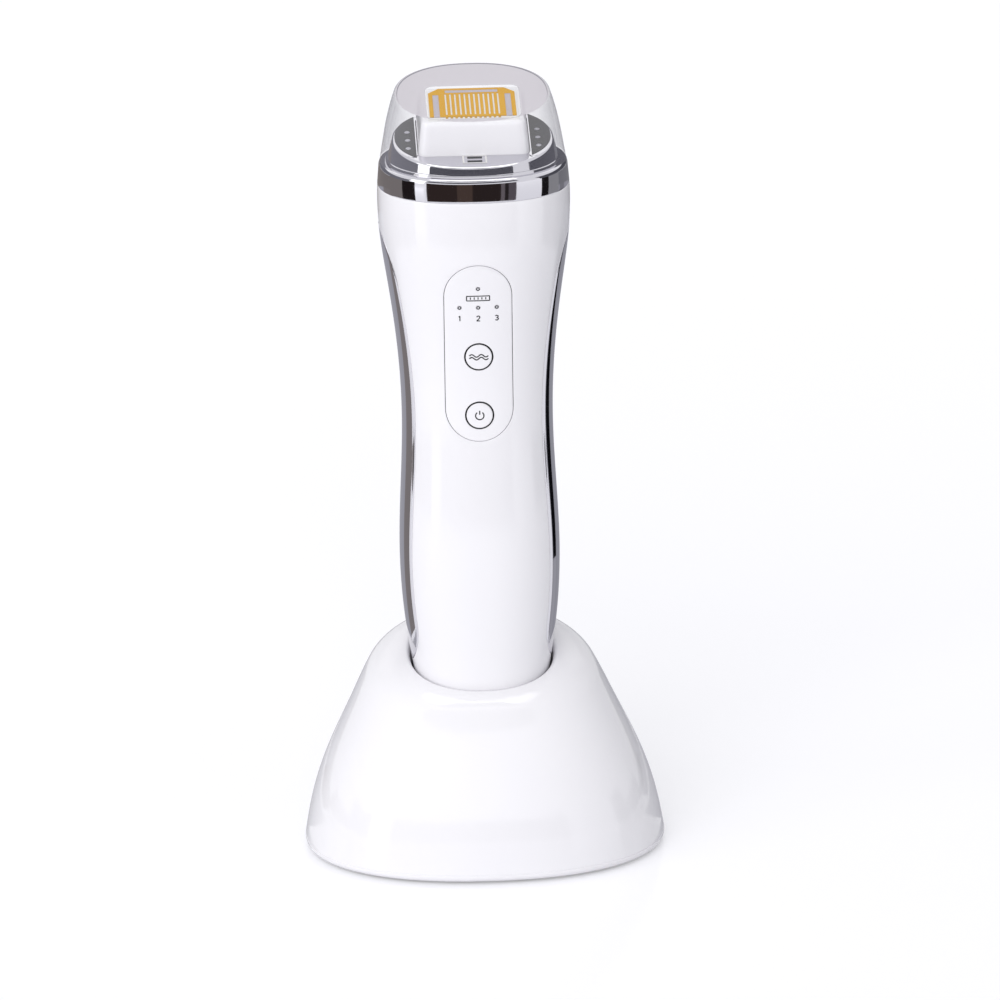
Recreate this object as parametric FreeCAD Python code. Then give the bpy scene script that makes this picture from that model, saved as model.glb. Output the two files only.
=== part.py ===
import FreeCAD, Part
import math
import os
from functools import lru_cache

# Face lifting device: a white handset with a clear cap, standing in its flared charging stand.
# Millimetres, +Z up, front towards -Y. The origin lies on the floor under the middle of the stand.

Vector = FreeCAD.Vector
UP = Vector(0, 0, 1)
BACK = Vector(0, 1, 0)
SIDE = Vector(1, 0, 0)

# Clearances and cutting tools
OVERRUN = 300.0
SLIDE_GAP = 0.08
SEAM_GAP = 0.12
REST_GAP = 0.05
RING_POINTS = 28

# Stand shell
STAND_WIDTH = 93.2
STAND_DEPTH = 71.2
STAND_PEAK = 62.0
STAND_WALL = 2.4
STAND_LIFT = 0.8
STAND_EDGE_RADIUS = 1.6
STAND_POWER_SHARE = 2.25
STAND_RISE_SHARES = (0.0, 0.2, 0.4, 0.6, 0.8, 1.0)
STAND_SIDE_SHARES = (1.0, 0.949, 0.855, 0.725, 0.579, 0.36)
STAND_FRONT_SHARES = (1.0, 0.96, 0.848, 0.66, 0.375, 0.1)
STAND_BACK_SHARES = (1.0, 0.975, 0.935, 0.885, 0.825, 0.775)
RIM_HEIGHT = 50.0
RIM_SLOPE = 15.0
RIM_RADIUS = 5.0
LIP_RADIUS = 1.4

# Socket cup, base plate and their screws
SOCKET_FLOOR = 26.0
SOCKET_GAP = 0.55
CUP_WALL = 1.6
CUP_FLOOR = 2.5
BASE_THICKNESS = 2.0
BASE_GAP = 0.25
BOSS_RADIUS = 3.2
BOSS_SPAN_X = 50.0
BOSS_SPAN_Y = 31.0
BASE_SCREW_RADIUS = 1.2
BASE_SCREW_HEAD_RADIUS = 2.4
BASE_SCREW_HEAD = 1.1
BASE_SCREW_LENGTH = 12.0
FOOT_RADIUS = 5.0
FOOT_POCKET = 0.8
FOOT_SPAN_X = 66.0
FOOT_SPAN_Y = 24.0

# Sprung charge pins, their carrier and the stand board
CONTACT_SPAN = 13.0
PIN_RADIUS = 1.0
PIN_HEAD_RADIUS = 1.4
PIN_HEAD = 1.5
CARRIER_WIDTH = 28.0
CARRIER_DEPTH = 10.0
CARRIER_HEIGHT = 7.9
CARRIER_FLOOR = 2.4
SPRING_WIRE_RADIUS = 0.2
SPRING_WIRE_SIDES = 8
SPRING_TURNS = 5
STAND_BOARD_WIDTH = 40.0
STAND_BOARD_FRONT = 8.0
STAND_BOARD_BACK = 4.0
BOARD_THICKNESS = 1.6
CARRIER_SCREW_SPAN = 22.0
CARRIER_SCREW_RADIUS = 0.9
CARRIER_SCREW_HEAD_RADIUS = 1.7
CARRIER_SCREW_HEAD = 1.2
CARRIER_SCREW_LENGTH = 6.0

# Power inlet
JACK_WIDTH = 9.0
JACK_DEPTH = 13.0
JACK_HEIGHT = 9.0
JACK_BUSH_RADIUS = 4.0
JACK_BUSH_LENGTH = 4.5
JACK_RECESS = 0.3
JACK_BORE_RADIUS = 2.9
JACK_BORE_DEPTH = 9.0
JACK_PIN_RADIUS = 1.0
JACK_PIN_LENGTH = 7.0

# Handset body
HANDSET_SETBACK = 3.0
BODY_LENGTH = 149.8
HEAD_WIDTH = 48.5
HOUSING_WALL = 2.0
BODY_POWER_SHARE = 2.25
BODY_RISE_SHARES = (-0.04, 0.0, 0.127, 0.234, 0.354, 0.474, 0.581, 0.701, 0.821, 0.928, 1.0, 1.04)
BODY_WIDTH_SHARES = (0.625, 0.647, 0.717, 0.803, 0.841, 0.814, 0.79, 0.818, 0.905, 0.992, 1.0, 0.978)
BODY_DEPTH_SHARES = (0.93, 0.93, 0.925, 0.915, 0.91, 0.905, 0.905, 0.90, 0.895, 0.89, 0.885, 0.885)
TAIL_HEIGHT = 5.0
TAIL_SPIGOT = 4.0
TAIL_FLOOR = 3.0
TAIL_SPIGOT_WALL = 1.5
TAIL_EDGE_RADIUS = 2.0

# Charge contacts and board in the tail
CONTACT_RADIUS = 2.6
CONTACT_RECESS = 0.6
CONTACT_THICKNESS = 0.8
CONTACT_STEM_RADIUS = 0.9
CHARGE_BOARD_THICKNESS = 1.2

# Side strips
STRIP_DEPTH = 20.6
STRIP_FOOT_RISE = 23.2
STRIP_TOP_RISE = 139.5
STRIP_FOOT_END = 12.0
STRIP_TOP_END = 13.0
STRIP_PROUD = 0.1
STRIP_THICKNESS = 1.1

# Housing screws
POST_ROOT_SHARE = 0.78
HOUSING_BOSS_RADIUS = 2.4
LOWER_BOSS_RISE = 26.0
LOWER_BOSS_SPAN = 26.4
UPPER_BOSS_RISE = 133.5
UPPER_BOSS_SPAN = 32.4
HOUSING_SCREW_RADIUS = 1.0
HOUSING_SCREW_HEAD_RADIUS = 2.0
HOUSING_SCREW_HEAD = 1.5
HOUSING_SCREW_SEAT = 7.0
HOUSING_SCREW_LENGTH = 13.0

# Control panel, buttons and light guide
PANEL_WIDTH = 17.0
PANEL_HEIGHT = 47.2
PANEL_RISE = 109.8
PANEL_THICKNESS = 1.1
MODE_BUTTON_DROP = 1.05
BUTTON_PITCH = 15.7
BUTTON_RADIUS = 3.3
BUTTON_PROUD = 0.25
BUTTON_FLANGE_RADIUS = 4.3
BUTTON_FLANGE = 0.8
BUTTON_FLANGE_SETBACK = 1.0
BUTTON_STEM_RADIUS = 1.4
BUTTON_SEAL_WIDTH = 0.25
BUTTON_SEAL_SINK = 0.03
LAMP_ROW_RISE = 12.3
CHARGE_LAMP_RISE = 17.4
LAMP_PITCH = 4.7
LAMP_RADIUS = 0.5
GUIDE_WIDTH = 12.4
GUIDE_HEIGHT = 8.4
GUIDE_THICKNESS = 1.0
GUIDE_SETBACK = 11.6

# Main board with its switches, lamps and buzzer
MAIN_BOARD_WIDTH = 24.4
MAIN_BOARD_LENGTH = 51.0
MAIN_BOARD_DROP = 3.0
MAIN_BOARD_SETBACK = 8.2
MAIN_POST_RADIUS = 2.0
MAIN_POST_SPAN_X = 19.2
MAIN_POST_SPAN_Z = 44.6
BOARD_SCREW_RADIUS = 0.75
BOARD_SCREW_HEAD_RADIUS = 1.5
BOARD_SCREW_HEAD = 0.9
BOARD_SCREW_LENGTH = 3.6
SWITCH_SIDE = 6.0
SWITCH_HEIGHT = 3.5
SWITCH_CAVITY = 1.8
PLUNGER_RADIUS = 1.7
PLUNGER_PROUD = 1.5
PLUNGER_DEPTH = 0.8
CHIP_WIDTH = 1.6
CHIP_HEIGHT = 0.8
BUZZER_RADIUS = 4.5
BUZZER_HEIGHT = 3.0
BUZZER_RISE = 8.0

# High-frequency board behind it
RF_BOARD_WIDTH = 21.0
RF_BOARD_LENGTH = 47.0
RF_BOARD_SETBACK = 9.4
RF_POST_SPAN_X = 15.6
RF_POST_SPAN_Z = 41.0
CORE_WIDTH = 15.0
CORE_LENGTH = 13.0
CORE_HEIGHT = 9.0
CORE_LEG = 2.6
CORE_DROP = 10.0
WINDING_GAP = 0.3
WINDING_DEPTH = 1.8
CAPACITOR_RADIUS = 3.0
CAPACITOR_HEIGHT = 8.0
CAPACITOR_PITCH = 7.4
CAPACITOR_RISE = 8.0

# Battery and cradle
CELL_RADIUS = 9.2
CELL_LENGTH = 65.0
CELL_RISE = 14.0
CELL_SETBACK = 2.5
CELL_GAP = 0.15
CRADLE_WALL = 1.05
CRADLE_END = 1.2
RIB_WIDTH = 12.0
RIB_THICKNESS = 2.0
RIB_SPAN_SHARE = 0.55

# Collar and cap
FLANGE_HEIGHT = 5.9
BAND_HEIGHT = 0.8
BAND_DRAFT = 0.1
CAP_CLEARANCE = 0.95
CAP_WALL = 1.3
CAP_PEAK = 24.3
CAP_TOP_RISE = 11.7
CAP_EDGE_RADIUS = 0.9
CAP_RISE_SHARES = (0.0, 0.236, 0.463, 0.749, 1.0)
CAP_WIDTH_SHARES = (0.97, 0.93, 0.885, 0.80, 0.705)
CAP_DEPTH_SHARES = (0.885, 0.885, 0.89, 0.895, 0.90)
HEAD_TILT = 10.0
HEAD_RISE = 11.7
DOME_STEP = 0.5
DOME_WIDTH = 40.4
DOME_DEPTH = 33.6
DOME_REACH = 6.3
COLLAR_WALL = 2.0
COLLAR_TOP = 2.6
SPIGOT_HEIGHT = 4.8
SPIGOT_WALL = 1.5
SEAL_RISE = 1.6
SEAL_HEIGHT = 1.2
SEAL_DEPTH = 0.6

# Head block and electrode plate
BLOCK_WIDTH = 28.1
BLOCK_DEPTH = 22.8
BLOCK_HEIGHT = 8.7
BLOCK_DRAFT = 0.9
BLOCK_CORNER = 2.2
BLOCK_EDGE_RADIUS = 1.1
BLOCK_WALL = 2.2
BLOCK_FLANGE = 1.6
BLOCK_FLANGE_WIDTH = 16.4
BLOCK_FLANGE_REACH = 1.7
HEAD_SCREW_SPAN = 12.6
HEAD_SCREW_RADIUS = 0.6
HEAD_SCREW_HEAD_RADIUS = 1.1
HEAD_SCREW_HEAD = 0.8
HEAD_SCREW_GRIP = 1.6
PLATE_WIDTH = 22.6
PLATE_DEPTH = 18.6
PLATE_THICKNESS = 0.8
PLATE_SINK = 0.5
PLATE_CHAMFER = 2.6
PLATE_MARGIN = 0.4
FILM_THICKNESS = 0.1
BAR_WIDTH = 1.4
BAR_INSET = 1.1
SLOT_COUNT = 12
SLOT_PITCH = 1.2
SLOT_WIDTH = 0.42
SLOT_FRONT = 2.4
SLOT_BACK = 3.2
FILM_GAP = 0.05
PAD_WIDTH = 0.6
PAD_DEPTH = 0.5
PAD_INSET = 0.7

# Lamp windows, treatment lamps and the cap catch on the collar's top
WINDOW_START = 15.0
WINDOW_MARGIN = 0.9
WINDOW_DEPTH = 1.2
LED_RADIUS = 0.85
LED_PITCH = 4.7
LED_OFFSET = 1.8
LED_SETOUT = 16.4
LED_PROUD = 0.2
LED_DOME = 0.5
LAMP_BOARD_WIDTH = 2.2
LAMP_BOARD_LENGTH = 13.0
LAMP_BOARD_THICKNESS = 1.0
CATCH_WIDTH = 3.7
CATCH_SLOT = 1.0
CATCH_PITCH = 2.1
CATCH_DEPTH = 1.5
CATCH_FILL = 0.9
CATCH_SETOUT = 12.7

# Levels worked out from the sizes above
HANDSET_FOOT = SOCKET_FLOOR
BODY_TOP = HANDSET_FOOT + BODY_LENGTH
FLANGE_TOP = BODY_TOP + FLANGE_HEIGHT
BAND_TOP = FLANGE_TOP + BAND_HEIGHT
HEAD_LEVEL = BODY_TOP + HEAD_RISE
PANEL_LEVEL = HANDSET_FOOT + PANEL_RISE
MODE_LEVEL = PANEL_LEVEL - MODE_BUTTON_DROP
POWER_LEVEL = MODE_LEVEL - BUTTON_PITCH
BOARD_LEVEL = PANEL_LEVEL - MAIN_BOARD_DROP
MAIN_BOARD_FACE = HANDSET_SETBACK - MAIN_BOARD_SETBACK
RF_BOARD_FACE = HANDSET_SETBACK + RF_BOARD_SETBACK
BASE_TOP = STAND_LIFT + BASE_THICKNESS
CUP_BOTTOM = SOCKET_FLOOR - CUP_FLOOR
CARRIER_BOTTOM = CUP_BOTTOM - CARRIER_HEIGHT
STAND_BOARD_BOTTOM = CARRIER_BOTTOM - BOARD_THICKNESS
JACK_BOTTOM = STAND_BOARD_BOTTOM - JACK_HEIGHT
JACK_LEVEL = JACK_BOTTOM + JACK_HEIGHT / 2
CELL_BOTTOM = HANDSET_FOOT + CELL_RISE
CELL_Y = HANDSET_SETBACK + CELL_SETBACK
CRADLE_INNER_RADIUS = CELL_RADIUS + CELL_GAP
CRADLE_RADIUS = CRADLE_INNER_RADIUS + CRADLE_WALL
SEAL_INNER_RADIUS = BUTTON_RADIUS + SLIDE_GAP
SEAL_OUTER_RADIUS = SEAL_INNER_RADIUS + BUTTON_SEAL_WIDTH
PLUNGER_TIP = MAIN_BOARD_FACE - SWITCH_HEIGHT - PLUNGER_PROUD


def ring(width, depth, centre_y, level, power_share):
    """Closed smooth outline of a rounded oval, level with the floor."""
    points = []
    for step in range(RING_POINTS):
        turn = 2 * math.pi * step / RING_POINTS
        across, along = math.cos(turn), math.sin(turn)
        x = math.copysign(abs(across) ** (2 / power_share), across) * width / 2
        y = math.copysign(abs(along) ** (2 / power_share), along) * depth / 2
        points.append(Vector(x, centre_y + y, level))
    curve = Part.BSplineCurve()
    curve.interpolate(Points=points, PeriodicFlag=True)
    return Part.Wire([curve.toShape()])


def block(low, high):
    """Box between two opposite corners."""
    size = high.sub(low)
    return Part.makeBox(size.x, size.y, size.z, low)


def centred_block(width, depth, height, centre_x, centre_y, bottom):
    """Upright box placed by the middle of its foot."""
    return Part.makeBox(width, depth, height, Vector(centre_x - width / 2, centre_y - depth / 2, bottom))


def levels(bottom, top):
    """Everything between two heights."""
    return block(Vector(-OVERRUN, -OVERRUN, bottom), Vector(OVERRUN, OVERRUN, top))


def before(y):
    """Everything in front of a depth."""
    return block(Vector(-OVERRUN, -OVERRUN, -OVERRUN), Vector(OVERRUN, y, OVERRUN))


def behind(y):
    """Everything behind a depth."""
    return block(Vector(-OVERRUN, y, -OVERRUN), Vector(OVERRUN, OVERRUN, OVERRUN))


def upright(radius, x, y, bottom, top):
    """Upright cylinder."""
    return Part.makeCylinder(radius, top - bottom, Vector(x, y, bottom), UP)


def rod(radius, x, front, back, level):
    """Cylinder that runs from front to back."""
    return Part.makeCylinder(radius, back - front, Vector(x, front, level), BACK)


def fuse(shapes):
    """One solid from pieces that meet."""
    return shapes[0].multiFuse(list(shapes[1:])).removeSplitter()


def mirrored_places(span_x, span_z, centre):
    """Four places round a centre, as pairs of distances."""
    places = []
    for x in (-span_x / 2, span_x / 2):
        for other in (centre - span_z / 2, centre + span_z / 2):
            places.append((x, other))
    return places


def front_of(shape, x, level):
    """Depth at which a line from the front meets a solid."""
    line = Part.makeLine(Vector(x, -OVERRUN, level), Vector(x, HANDSET_SETBACK, level))
    return shape.common(line).BoundBox.YMin


def back_of(shape, x, level):
    """Depth at which a line from the back meets a solid."""
    line = Part.makeLine(Vector(x, HANDSET_SETBACK, level), Vector(x, OVERRUN, level))
    return shape.common(line).BoundBox.YMax


@lru_cache(maxsize=None)
def body(inset):
    """Handset body, shrunk all round by an inset."""
    wires = []
    for rise, width, depth in zip(BODY_RISE_SHARES, BODY_WIDTH_SHARES, BODY_DEPTH_SHARES):
        full_width = HEAD_WIDTH * width
        level = HANDSET_FOOT + BODY_LENGTH * rise
        wires.append(ring(full_width - 2 * inset, full_width * depth - 2 * inset, HANDSET_SETBACK, level,
                          BODY_POWER_SHARE))
    return Part.makeLoft(wires, True)


@lru_cache(maxsize=None)
def stand_form(inset):
    """Uncut flared form of the stand, shrunk all round by an inset."""
    wires = []
    rows = zip(STAND_RISE_SHARES, STAND_SIDE_SHARES, STAND_FRONT_SHARES, STAND_BACK_SHARES)
    for rise, side, front, back in rows:
        front_y = inset - STAND_DEPTH / 2 * front
        back_y = STAND_DEPTH / 2 * back - inset
        level = STAND_LIFT + (STAND_PEAK - STAND_LIFT) * rise
        wires.append(ring(STAND_WIDTH * side - 2 * inset, back_y - front_y, (front_y + back_y) / 2, level,
                          STAND_POWER_SHARE))
    return Part.makeLoft(wires, True)


def below_rim(drop):
    """Everything under the stand's sloping top, less a drop."""
    space = block(Vector(-OVERRUN, -OVERRUN, -OVERRUN), Vector(OVERRUN, OVERRUN, -drop))
    space.rotate(Vector(0, 0, 0), SIDE, RIM_SLOPE)
    return space.translated(Vector(0, HANDSET_SETBACK, RIM_HEIGHT))


def head_frame(shape):
    """Carry a piece from the head's own tilted frame to the handset."""
    tilted = shape.rotated(Vector(0, 0, 0), SIDE, HEAD_TILT)
    return tilted.translated(Vector(0, HANDSET_SETBACK, HEAD_LEVEL))


def below_head(rise):
    """Everything under a plane that lies parallel to the head's rim."""
    return head_frame(block(Vector(-OVERRUN, -OVERRUN, -OVERRUN), Vector(OVERRUN, OVERRUN, rise)))


def edges_between(shape, bottom, top):
    """Edges whose whole length lies between two heights."""
    return [edge for edge in shape.Edges if edge.BoundBox.ZMin > bottom and edge.BoundBox.ZMax < top]


def boss_places():
    """Places of the stand's four screw bosses."""
    return mirrored_places(BOSS_SPAN_X, BOSS_SPAN_Y, 0)


def jack_face():
    """Depth of the stand's back face at the power inlet."""
    return back_of(stand_form(0), 0, JACK_LEVEL)


def stand_shell():
    """Flared shell with a rounded sloping rim, a socket mouth, screw bosses and an inlet hole."""
    solid = stand_form(0).common(below_rim(0))
    rim = [edge for edge in solid.Edges if edge.Closed and edge.BoundBox.ZMax > RIM_HEIGHT]
    solid = solid.makeFillet(RIM_RADIUS, rim)
    foot = edges_between(solid, STAND_LIFT - STAND_EDGE_RADIUS, STAND_LIFT + STAND_EDGE_RADIUS)
    solid = solid.makeFillet(STAND_EDGE_RADIUS, foot)
    mouth = body(-SOCKET_GAP)
    solid = solid.cut(mouth)
    lip_width = mouth.BoundBox.XMax
    lip = [edge for edge in solid.Edges
           if edge.Closed and edge.BoundBox.ZMax > RIM_HEIGHT and edge.BoundBox.XMax < lip_width
           and edge.BoundBox.ZMin > SOCKET_FLOOR]
    lip.sort(key=lambda edge: edge.Length)
    solid = solid.makeFillet(LIP_RADIUS, lip[:1])
    hollow = stand_form(STAND_WALL).common(below_rim(STAND_WALL))
    shell = solid.cut(hollow)
    bosses = []
    for x, y in boss_places():
        boss = upright(BOSS_RADIUS, x, y, BASE_TOP, RIM_HEIGHT)
        bosses.append(boss.common(stand_form(STAND_WALL / 2)).common(below_rim(STAND_WALL / 2)))
    shell = fuse([shell] + bosses)
    for x, y in boss_places():
        shell = shell.cut(upright(BASE_SCREW_RADIUS + SLIDE_GAP, x, y, 0, BASE_TOP + BASE_SCREW_LENGTH))
    inlet = rod(JACK_BUSH_RADIUS + SEAM_GAP, 0, jack_face() - JACK_BUSH_LENGTH, OVERRUN, JACK_LEVEL)
    return shell.cut(inlet)


def socket_cup():
    """Cup that holds the handset's tail, with two holes for the charge pins."""
    outer = body(-SOCKET_GAP - CUP_WALL).common(levels(CUP_BOTTOM, OVERRUN)).common(below_rim(STAND_WALL))
    cup = outer.cut(body(-SOCKET_GAP).common(levels(SOCKET_FLOOR, OVERRUN)))
    for x in (-CONTACT_SPAN / 2, CONTACT_SPAN / 2):
        cup = cup.cut(upright(PIN_RADIUS + SLIDE_GAP, x, HANDSET_SETBACK, 0, OVERRUN))
    return cup


def base_outline(level):
    """Outline of the stand's inside near the floor."""
    section = stand_form(STAND_WALL + BASE_GAP).slice(UP, level)[0]
    face = Part.Face(section)
    return face.translated(Vector(0, 0, STAND_LIFT - level))


def base_plate():
    """Floor plate with foot pockets, screw holes and a pedestal under the power inlet."""
    plate = base_outline(BASE_TOP).extrude(Vector(0, 0, BASE_THICKNESS))
    for x, y in mirrored_places(FOOT_SPAN_X, FOOT_SPAN_Y, 0):
        plate = plate.cut(upright(FOOT_RADIUS + SEAM_GAP, x, y, 0, STAND_LIFT + FOOT_POCKET))
    for x, y in boss_places():
        plate = plate.cut(upright(BASE_SCREW_RADIUS + SEAM_GAP, x, y, 0, BASE_TOP))
        plate = plate.cut(upright(BASE_SCREW_HEAD_RADIUS + SEAM_GAP, x, y, 0, STAND_LIFT + BASE_SCREW_HEAD))
    jack_back = jack_face() - JACK_BUSH_LENGTH
    pedestal = centred_block(JACK_WIDTH, JACK_DEPTH, JACK_BOTTOM - STAND_LIFT, 0, jack_back - JACK_DEPTH / 2,
                             STAND_LIFT)
    return fuse([plate, pedestal])


def foot_pads():
    """Four rubber pads under the base plate."""
    pads = []
    for x, y in mirrored_places(FOOT_SPAN_X, FOOT_SPAN_Y, 0):
        pads.append(upright(FOOT_RADIUS, x, y, 0, STAND_LIFT + FOOT_POCKET))
    return Part.makeCompound(pads)


def base_screws():
    """Four screws that hold the base plate to the shell's bosses."""
    screws = []
    for x, y in boss_places():
        seat = STAND_LIFT + BASE_SCREW_HEAD
        head = upright(BASE_SCREW_HEAD_RADIUS, x, y, STAND_LIFT, seat)
        shank = upright(BASE_SCREW_RADIUS, x, y, seat, seat + BASE_SCREW_LENGTH)
        screws.append(fuse([head, shank]))
    return Part.makeCompound(screws)


def contact_carrier():
    """Block under the cup in which the charge pins slide."""
    carrier = centred_block(CARRIER_WIDTH, CARRIER_DEPTH, CARRIER_HEIGHT, 0, HANDSET_SETBACK, CARRIER_BOTTOM)
    for x in (-CONTACT_SPAN / 2, CONTACT_SPAN / 2):
        bore_floor = CARRIER_BOTTOM + CARRIER_FLOOR
        carrier = carrier.cut(upright(PIN_HEAD_RADIUS + SLIDE_GAP, x, HANDSET_SETBACK, bore_floor, OVERRUN))
    for x in (-CARRIER_SCREW_SPAN / 2, CARRIER_SCREW_SPAN / 2):
        top = STAND_BOARD_BOTTOM + CARRIER_SCREW_LENGTH
        carrier = carrier.cut(upright(CARRIER_SCREW_RADIUS + SLIDE_GAP, x, HANDSET_SETBACK, 0, top))
    return carrier


def pin_head_level():
    """Height of the underside of a charge pin's head."""
    return CUP_BOTTOM - REST_GAP - PIN_HEAD


def charge_pin(x):
    """Sprung charge pin with a rounded tip and a head that keeps it in its bore."""
    tip = HANDSET_FOOT + CONTACT_RECESS - REST_GAP
    shank = upright(PIN_RADIUS, x, HANDSET_SETBACK, pin_head_level(), tip)
    shank = shank.makeFillet(PIN_RADIUS / 2, edges_between(shank, SOCKET_FLOOR, tip + REST_GAP))
    head = upright(PIN_HEAD_RADIUS, x, HANDSET_SETBACK, pin_head_level(), CUP_BOTTOM - REST_GAP)
    return fuse([shank, head])


def pin_spring(x):
    """Coil spring under a charge pin's head, of eight-sided wire."""
    bottom = CARRIER_BOTTOM + CARRIER_FLOOR + SPRING_WIRE_RADIUS + REST_GAP
    top = pin_head_level() - SPRING_WIRE_RADIUS - REST_GAP
    radius = PIN_HEAD_RADIUS - 2 * SPRING_WIRE_RADIUS
    helix = Part.makeHelix((top - bottom) / SPRING_TURNS, top - bottom, radius)
    corners = []
    for step in range(SPRING_WIRE_SIDES + 1):
        turn = 2 * math.pi * step / SPRING_WIRE_SIDES
        corners.append(Vector(radius + SPRING_WIRE_RADIUS * math.cos(turn), 0, SPRING_WIRE_RADIUS * math.sin(turn)))
    coil = Part.Wire(helix.Edges).makePipeShell([Part.makePolygon(corners)], True, True)
    return coil.translated(Vector(x, HANDSET_SETBACK, bottom))


def stand_board():
    """Circuit board that carries the power inlet and the contact carrier."""
    front = HANDSET_SETBACK - STAND_BOARD_FRONT
    back = jack_face() - JACK_BUSH_LENGTH - STAND_BOARD_BACK
    board = block(Vector(-STAND_BOARD_WIDTH / 2, front, STAND_BOARD_BOTTOM),
                  Vector(STAND_BOARD_WIDTH / 2, back, CARRIER_BOTTOM))
    for x in (-CARRIER_SCREW_SPAN / 2, CARRIER_SCREW_SPAN / 2):
        board = board.cut(upright(CARRIER_SCREW_RADIUS + SEAM_GAP, x, HANDSET_SETBACK, 0, OVERRUN))
    return board


def carrier_screws():
    """Two screws from the stand board up into the contact carrier."""
    screws = []
    for x in (-CARRIER_SCREW_SPAN / 2, CARRIER_SCREW_SPAN / 2):
        head = upright(CARRIER_SCREW_HEAD_RADIUS, x, HANDSET_SETBACK,
                       STAND_BOARD_BOTTOM - CARRIER_SCREW_HEAD, STAND_BOARD_BOTTOM)
        shank = upright(CARRIER_SCREW_RADIUS, x, HANDSET_SETBACK, STAND_BOARD_BOTTOM,
                        STAND_BOARD_BOTTOM + CARRIER_SCREW_LENGTH)
        screws.append(fuse([head, shank]))
    return Part.makeCompound(screws)


def dc_jack():
    """Power inlet: a body under the stand board with a round bush through the shell."""
    face = jack_face()
    back = face - JACK_BUSH_LENGTH
    case = centred_block(JACK_WIDTH, JACK_DEPTH, JACK_HEIGHT, 0, back - JACK_DEPTH / 2, JACK_BOTTOM)
    bush = rod(JACK_BUSH_RADIUS, 0, back, face - JACK_RECESS, JACK_LEVEL)
    bore = rod(JACK_BORE_RADIUS, 0, face - JACK_RECESS - JACK_BORE_DEPTH, OVERRUN, JACK_LEVEL)
    return fuse([case, bush]).cut(bore)


def dc_jack_pin():
    """Centre pin of the power inlet."""
    root = jack_face() - JACK_RECESS - JACK_BORE_DEPTH
    pin = rod(JACK_PIN_RADIUS, 0, root, root + JACK_PIN_LENGTH, JACK_LEVEL)
    tip = [edge for edge in pin.Edges if edge.BoundBox.YMin > root + JACK_PIN_LENGTH - JACK_PIN_RADIUS]
    return pin.makeFillet(JACK_PIN_RADIUS / 2, tip)


def strip_prism(grow):
    """Long leaf outline of a side strip, run through the handset from side to side."""
    half = STRIP_DEPTH / 2 + grow
    foot = HANDSET_FOOT + STRIP_FOOT_RISE - grow
    top = HANDSET_FOOT + STRIP_TOP_RISE + grow
    low = HANDSET_FOOT + STRIP_FOOT_RISE + STRIP_FOOT_END
    high = HANDSET_FOOT + STRIP_TOP_RISE - STRIP_TOP_END
    x = -OVERRUN

    def end_arc(level, tip, start, stop):
        middle = Vector(x, HANDSET_SETBACK, level)
        ellipse = Part.Ellipse(Vector(x, HANDSET_SETBACK, tip), Vector(x, HANDSET_SETBACK + half, level), middle)
        return Part.ArcOfEllipse(ellipse, start, stop).toShape()

    quarter = math.pi / 2
    edges = [end_arc(high, top, -quarter, quarter), end_arc(low, foot, -quarter, quarter)]
    for side in (-half, half):
        edges.append(Part.makeLine(Vector(x, HANDSET_SETBACK + side, low), Vector(x, HANDSET_SETBACK + side, high)))
    outline = Part.Wire(Part.sortEdges(edges)[0])
    return Part.Face(outline).extrude(Vector(2 * OVERRUN, 0, 0))


def half_space(side):
    """Everything on one side of the handset's middle."""
    low = min(0, side * OVERRUN)
    return block(Vector(low, -OVERRUN, -OVERRUN), Vector(low + OVERRUN, OVERRUN, OVERRUN))


def side_strip(side):
    """Polished strip let into the side of the housing."""
    strip = body(-STRIP_PROUD).common(strip_prism(0)).cut(body(STRIP_THICKNESS - STRIP_PROUD))
    return strip.common(half_space(side))


def pill(grow):
    """Upright pill outline of the control panel, run from the middle to the front."""
    radius = PANEL_WIDTH / 2 + grow
    straight = PANEL_HEIGHT / 2 - PANEL_WIDTH / 2
    ends = []
    for level in (PANEL_LEVEL - straight, PANEL_LEVEL + straight):
        ends.append(rod(radius, 0, -OVERRUN, HANDSET_SETBACK, level))
    middle = block(Vector(-radius, -OVERRUN, PANEL_LEVEL - straight),
                   Vector(radius, HANDSET_SETBACK, PANEL_LEVEL + straight))
    return fuse([middle] + ends)


def lamp_places():
    """Places of the charge lamp and of the three lamps in a row."""
    row = PANEL_LEVEL + LAMP_ROW_RISE
    return ((0, PANEL_LEVEL + CHARGE_LAMP_RISE), (-LAMP_PITCH, row), (0, row), (LAMP_PITCH, row))


def housing_boss_places():
    """Places of the four screws that join the housing halves."""
    places = []
    for span, rise in ((LOWER_BOSS_SPAN, LOWER_BOSS_RISE), (UPPER_BOSS_SPAN, UPPER_BOSS_RISE)):
        for x in (-span / 2, span / 2):
            places.append((x, HANDSET_FOOT + rise))
    return places


def main_post_places():
    """Places of the posts under the main board."""
    return mirrored_places(MAIN_POST_SPAN_X, MAIN_POST_SPAN_Z, BOARD_LEVEL)


def rf_post_places():
    """Places of the posts behind the high-frequency board."""
    return mirrored_places(RF_POST_SPAN_X, RF_POST_SPAN_Z, BOARD_LEVEL)


def housing_wall():
    """Wall of both housing halves, with the recesses for the side strips."""
    wall = body(0).cut(body(HOUSING_WALL)).common(levels(HANDSET_FOOT + TAIL_HEIGHT, BODY_TOP))
    recess = strip_prism(SEAM_GAP).cut(body(STRIP_THICKNESS - STRIP_PROUD + SEAM_GAP))
    return wall.cut(recess)


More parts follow.
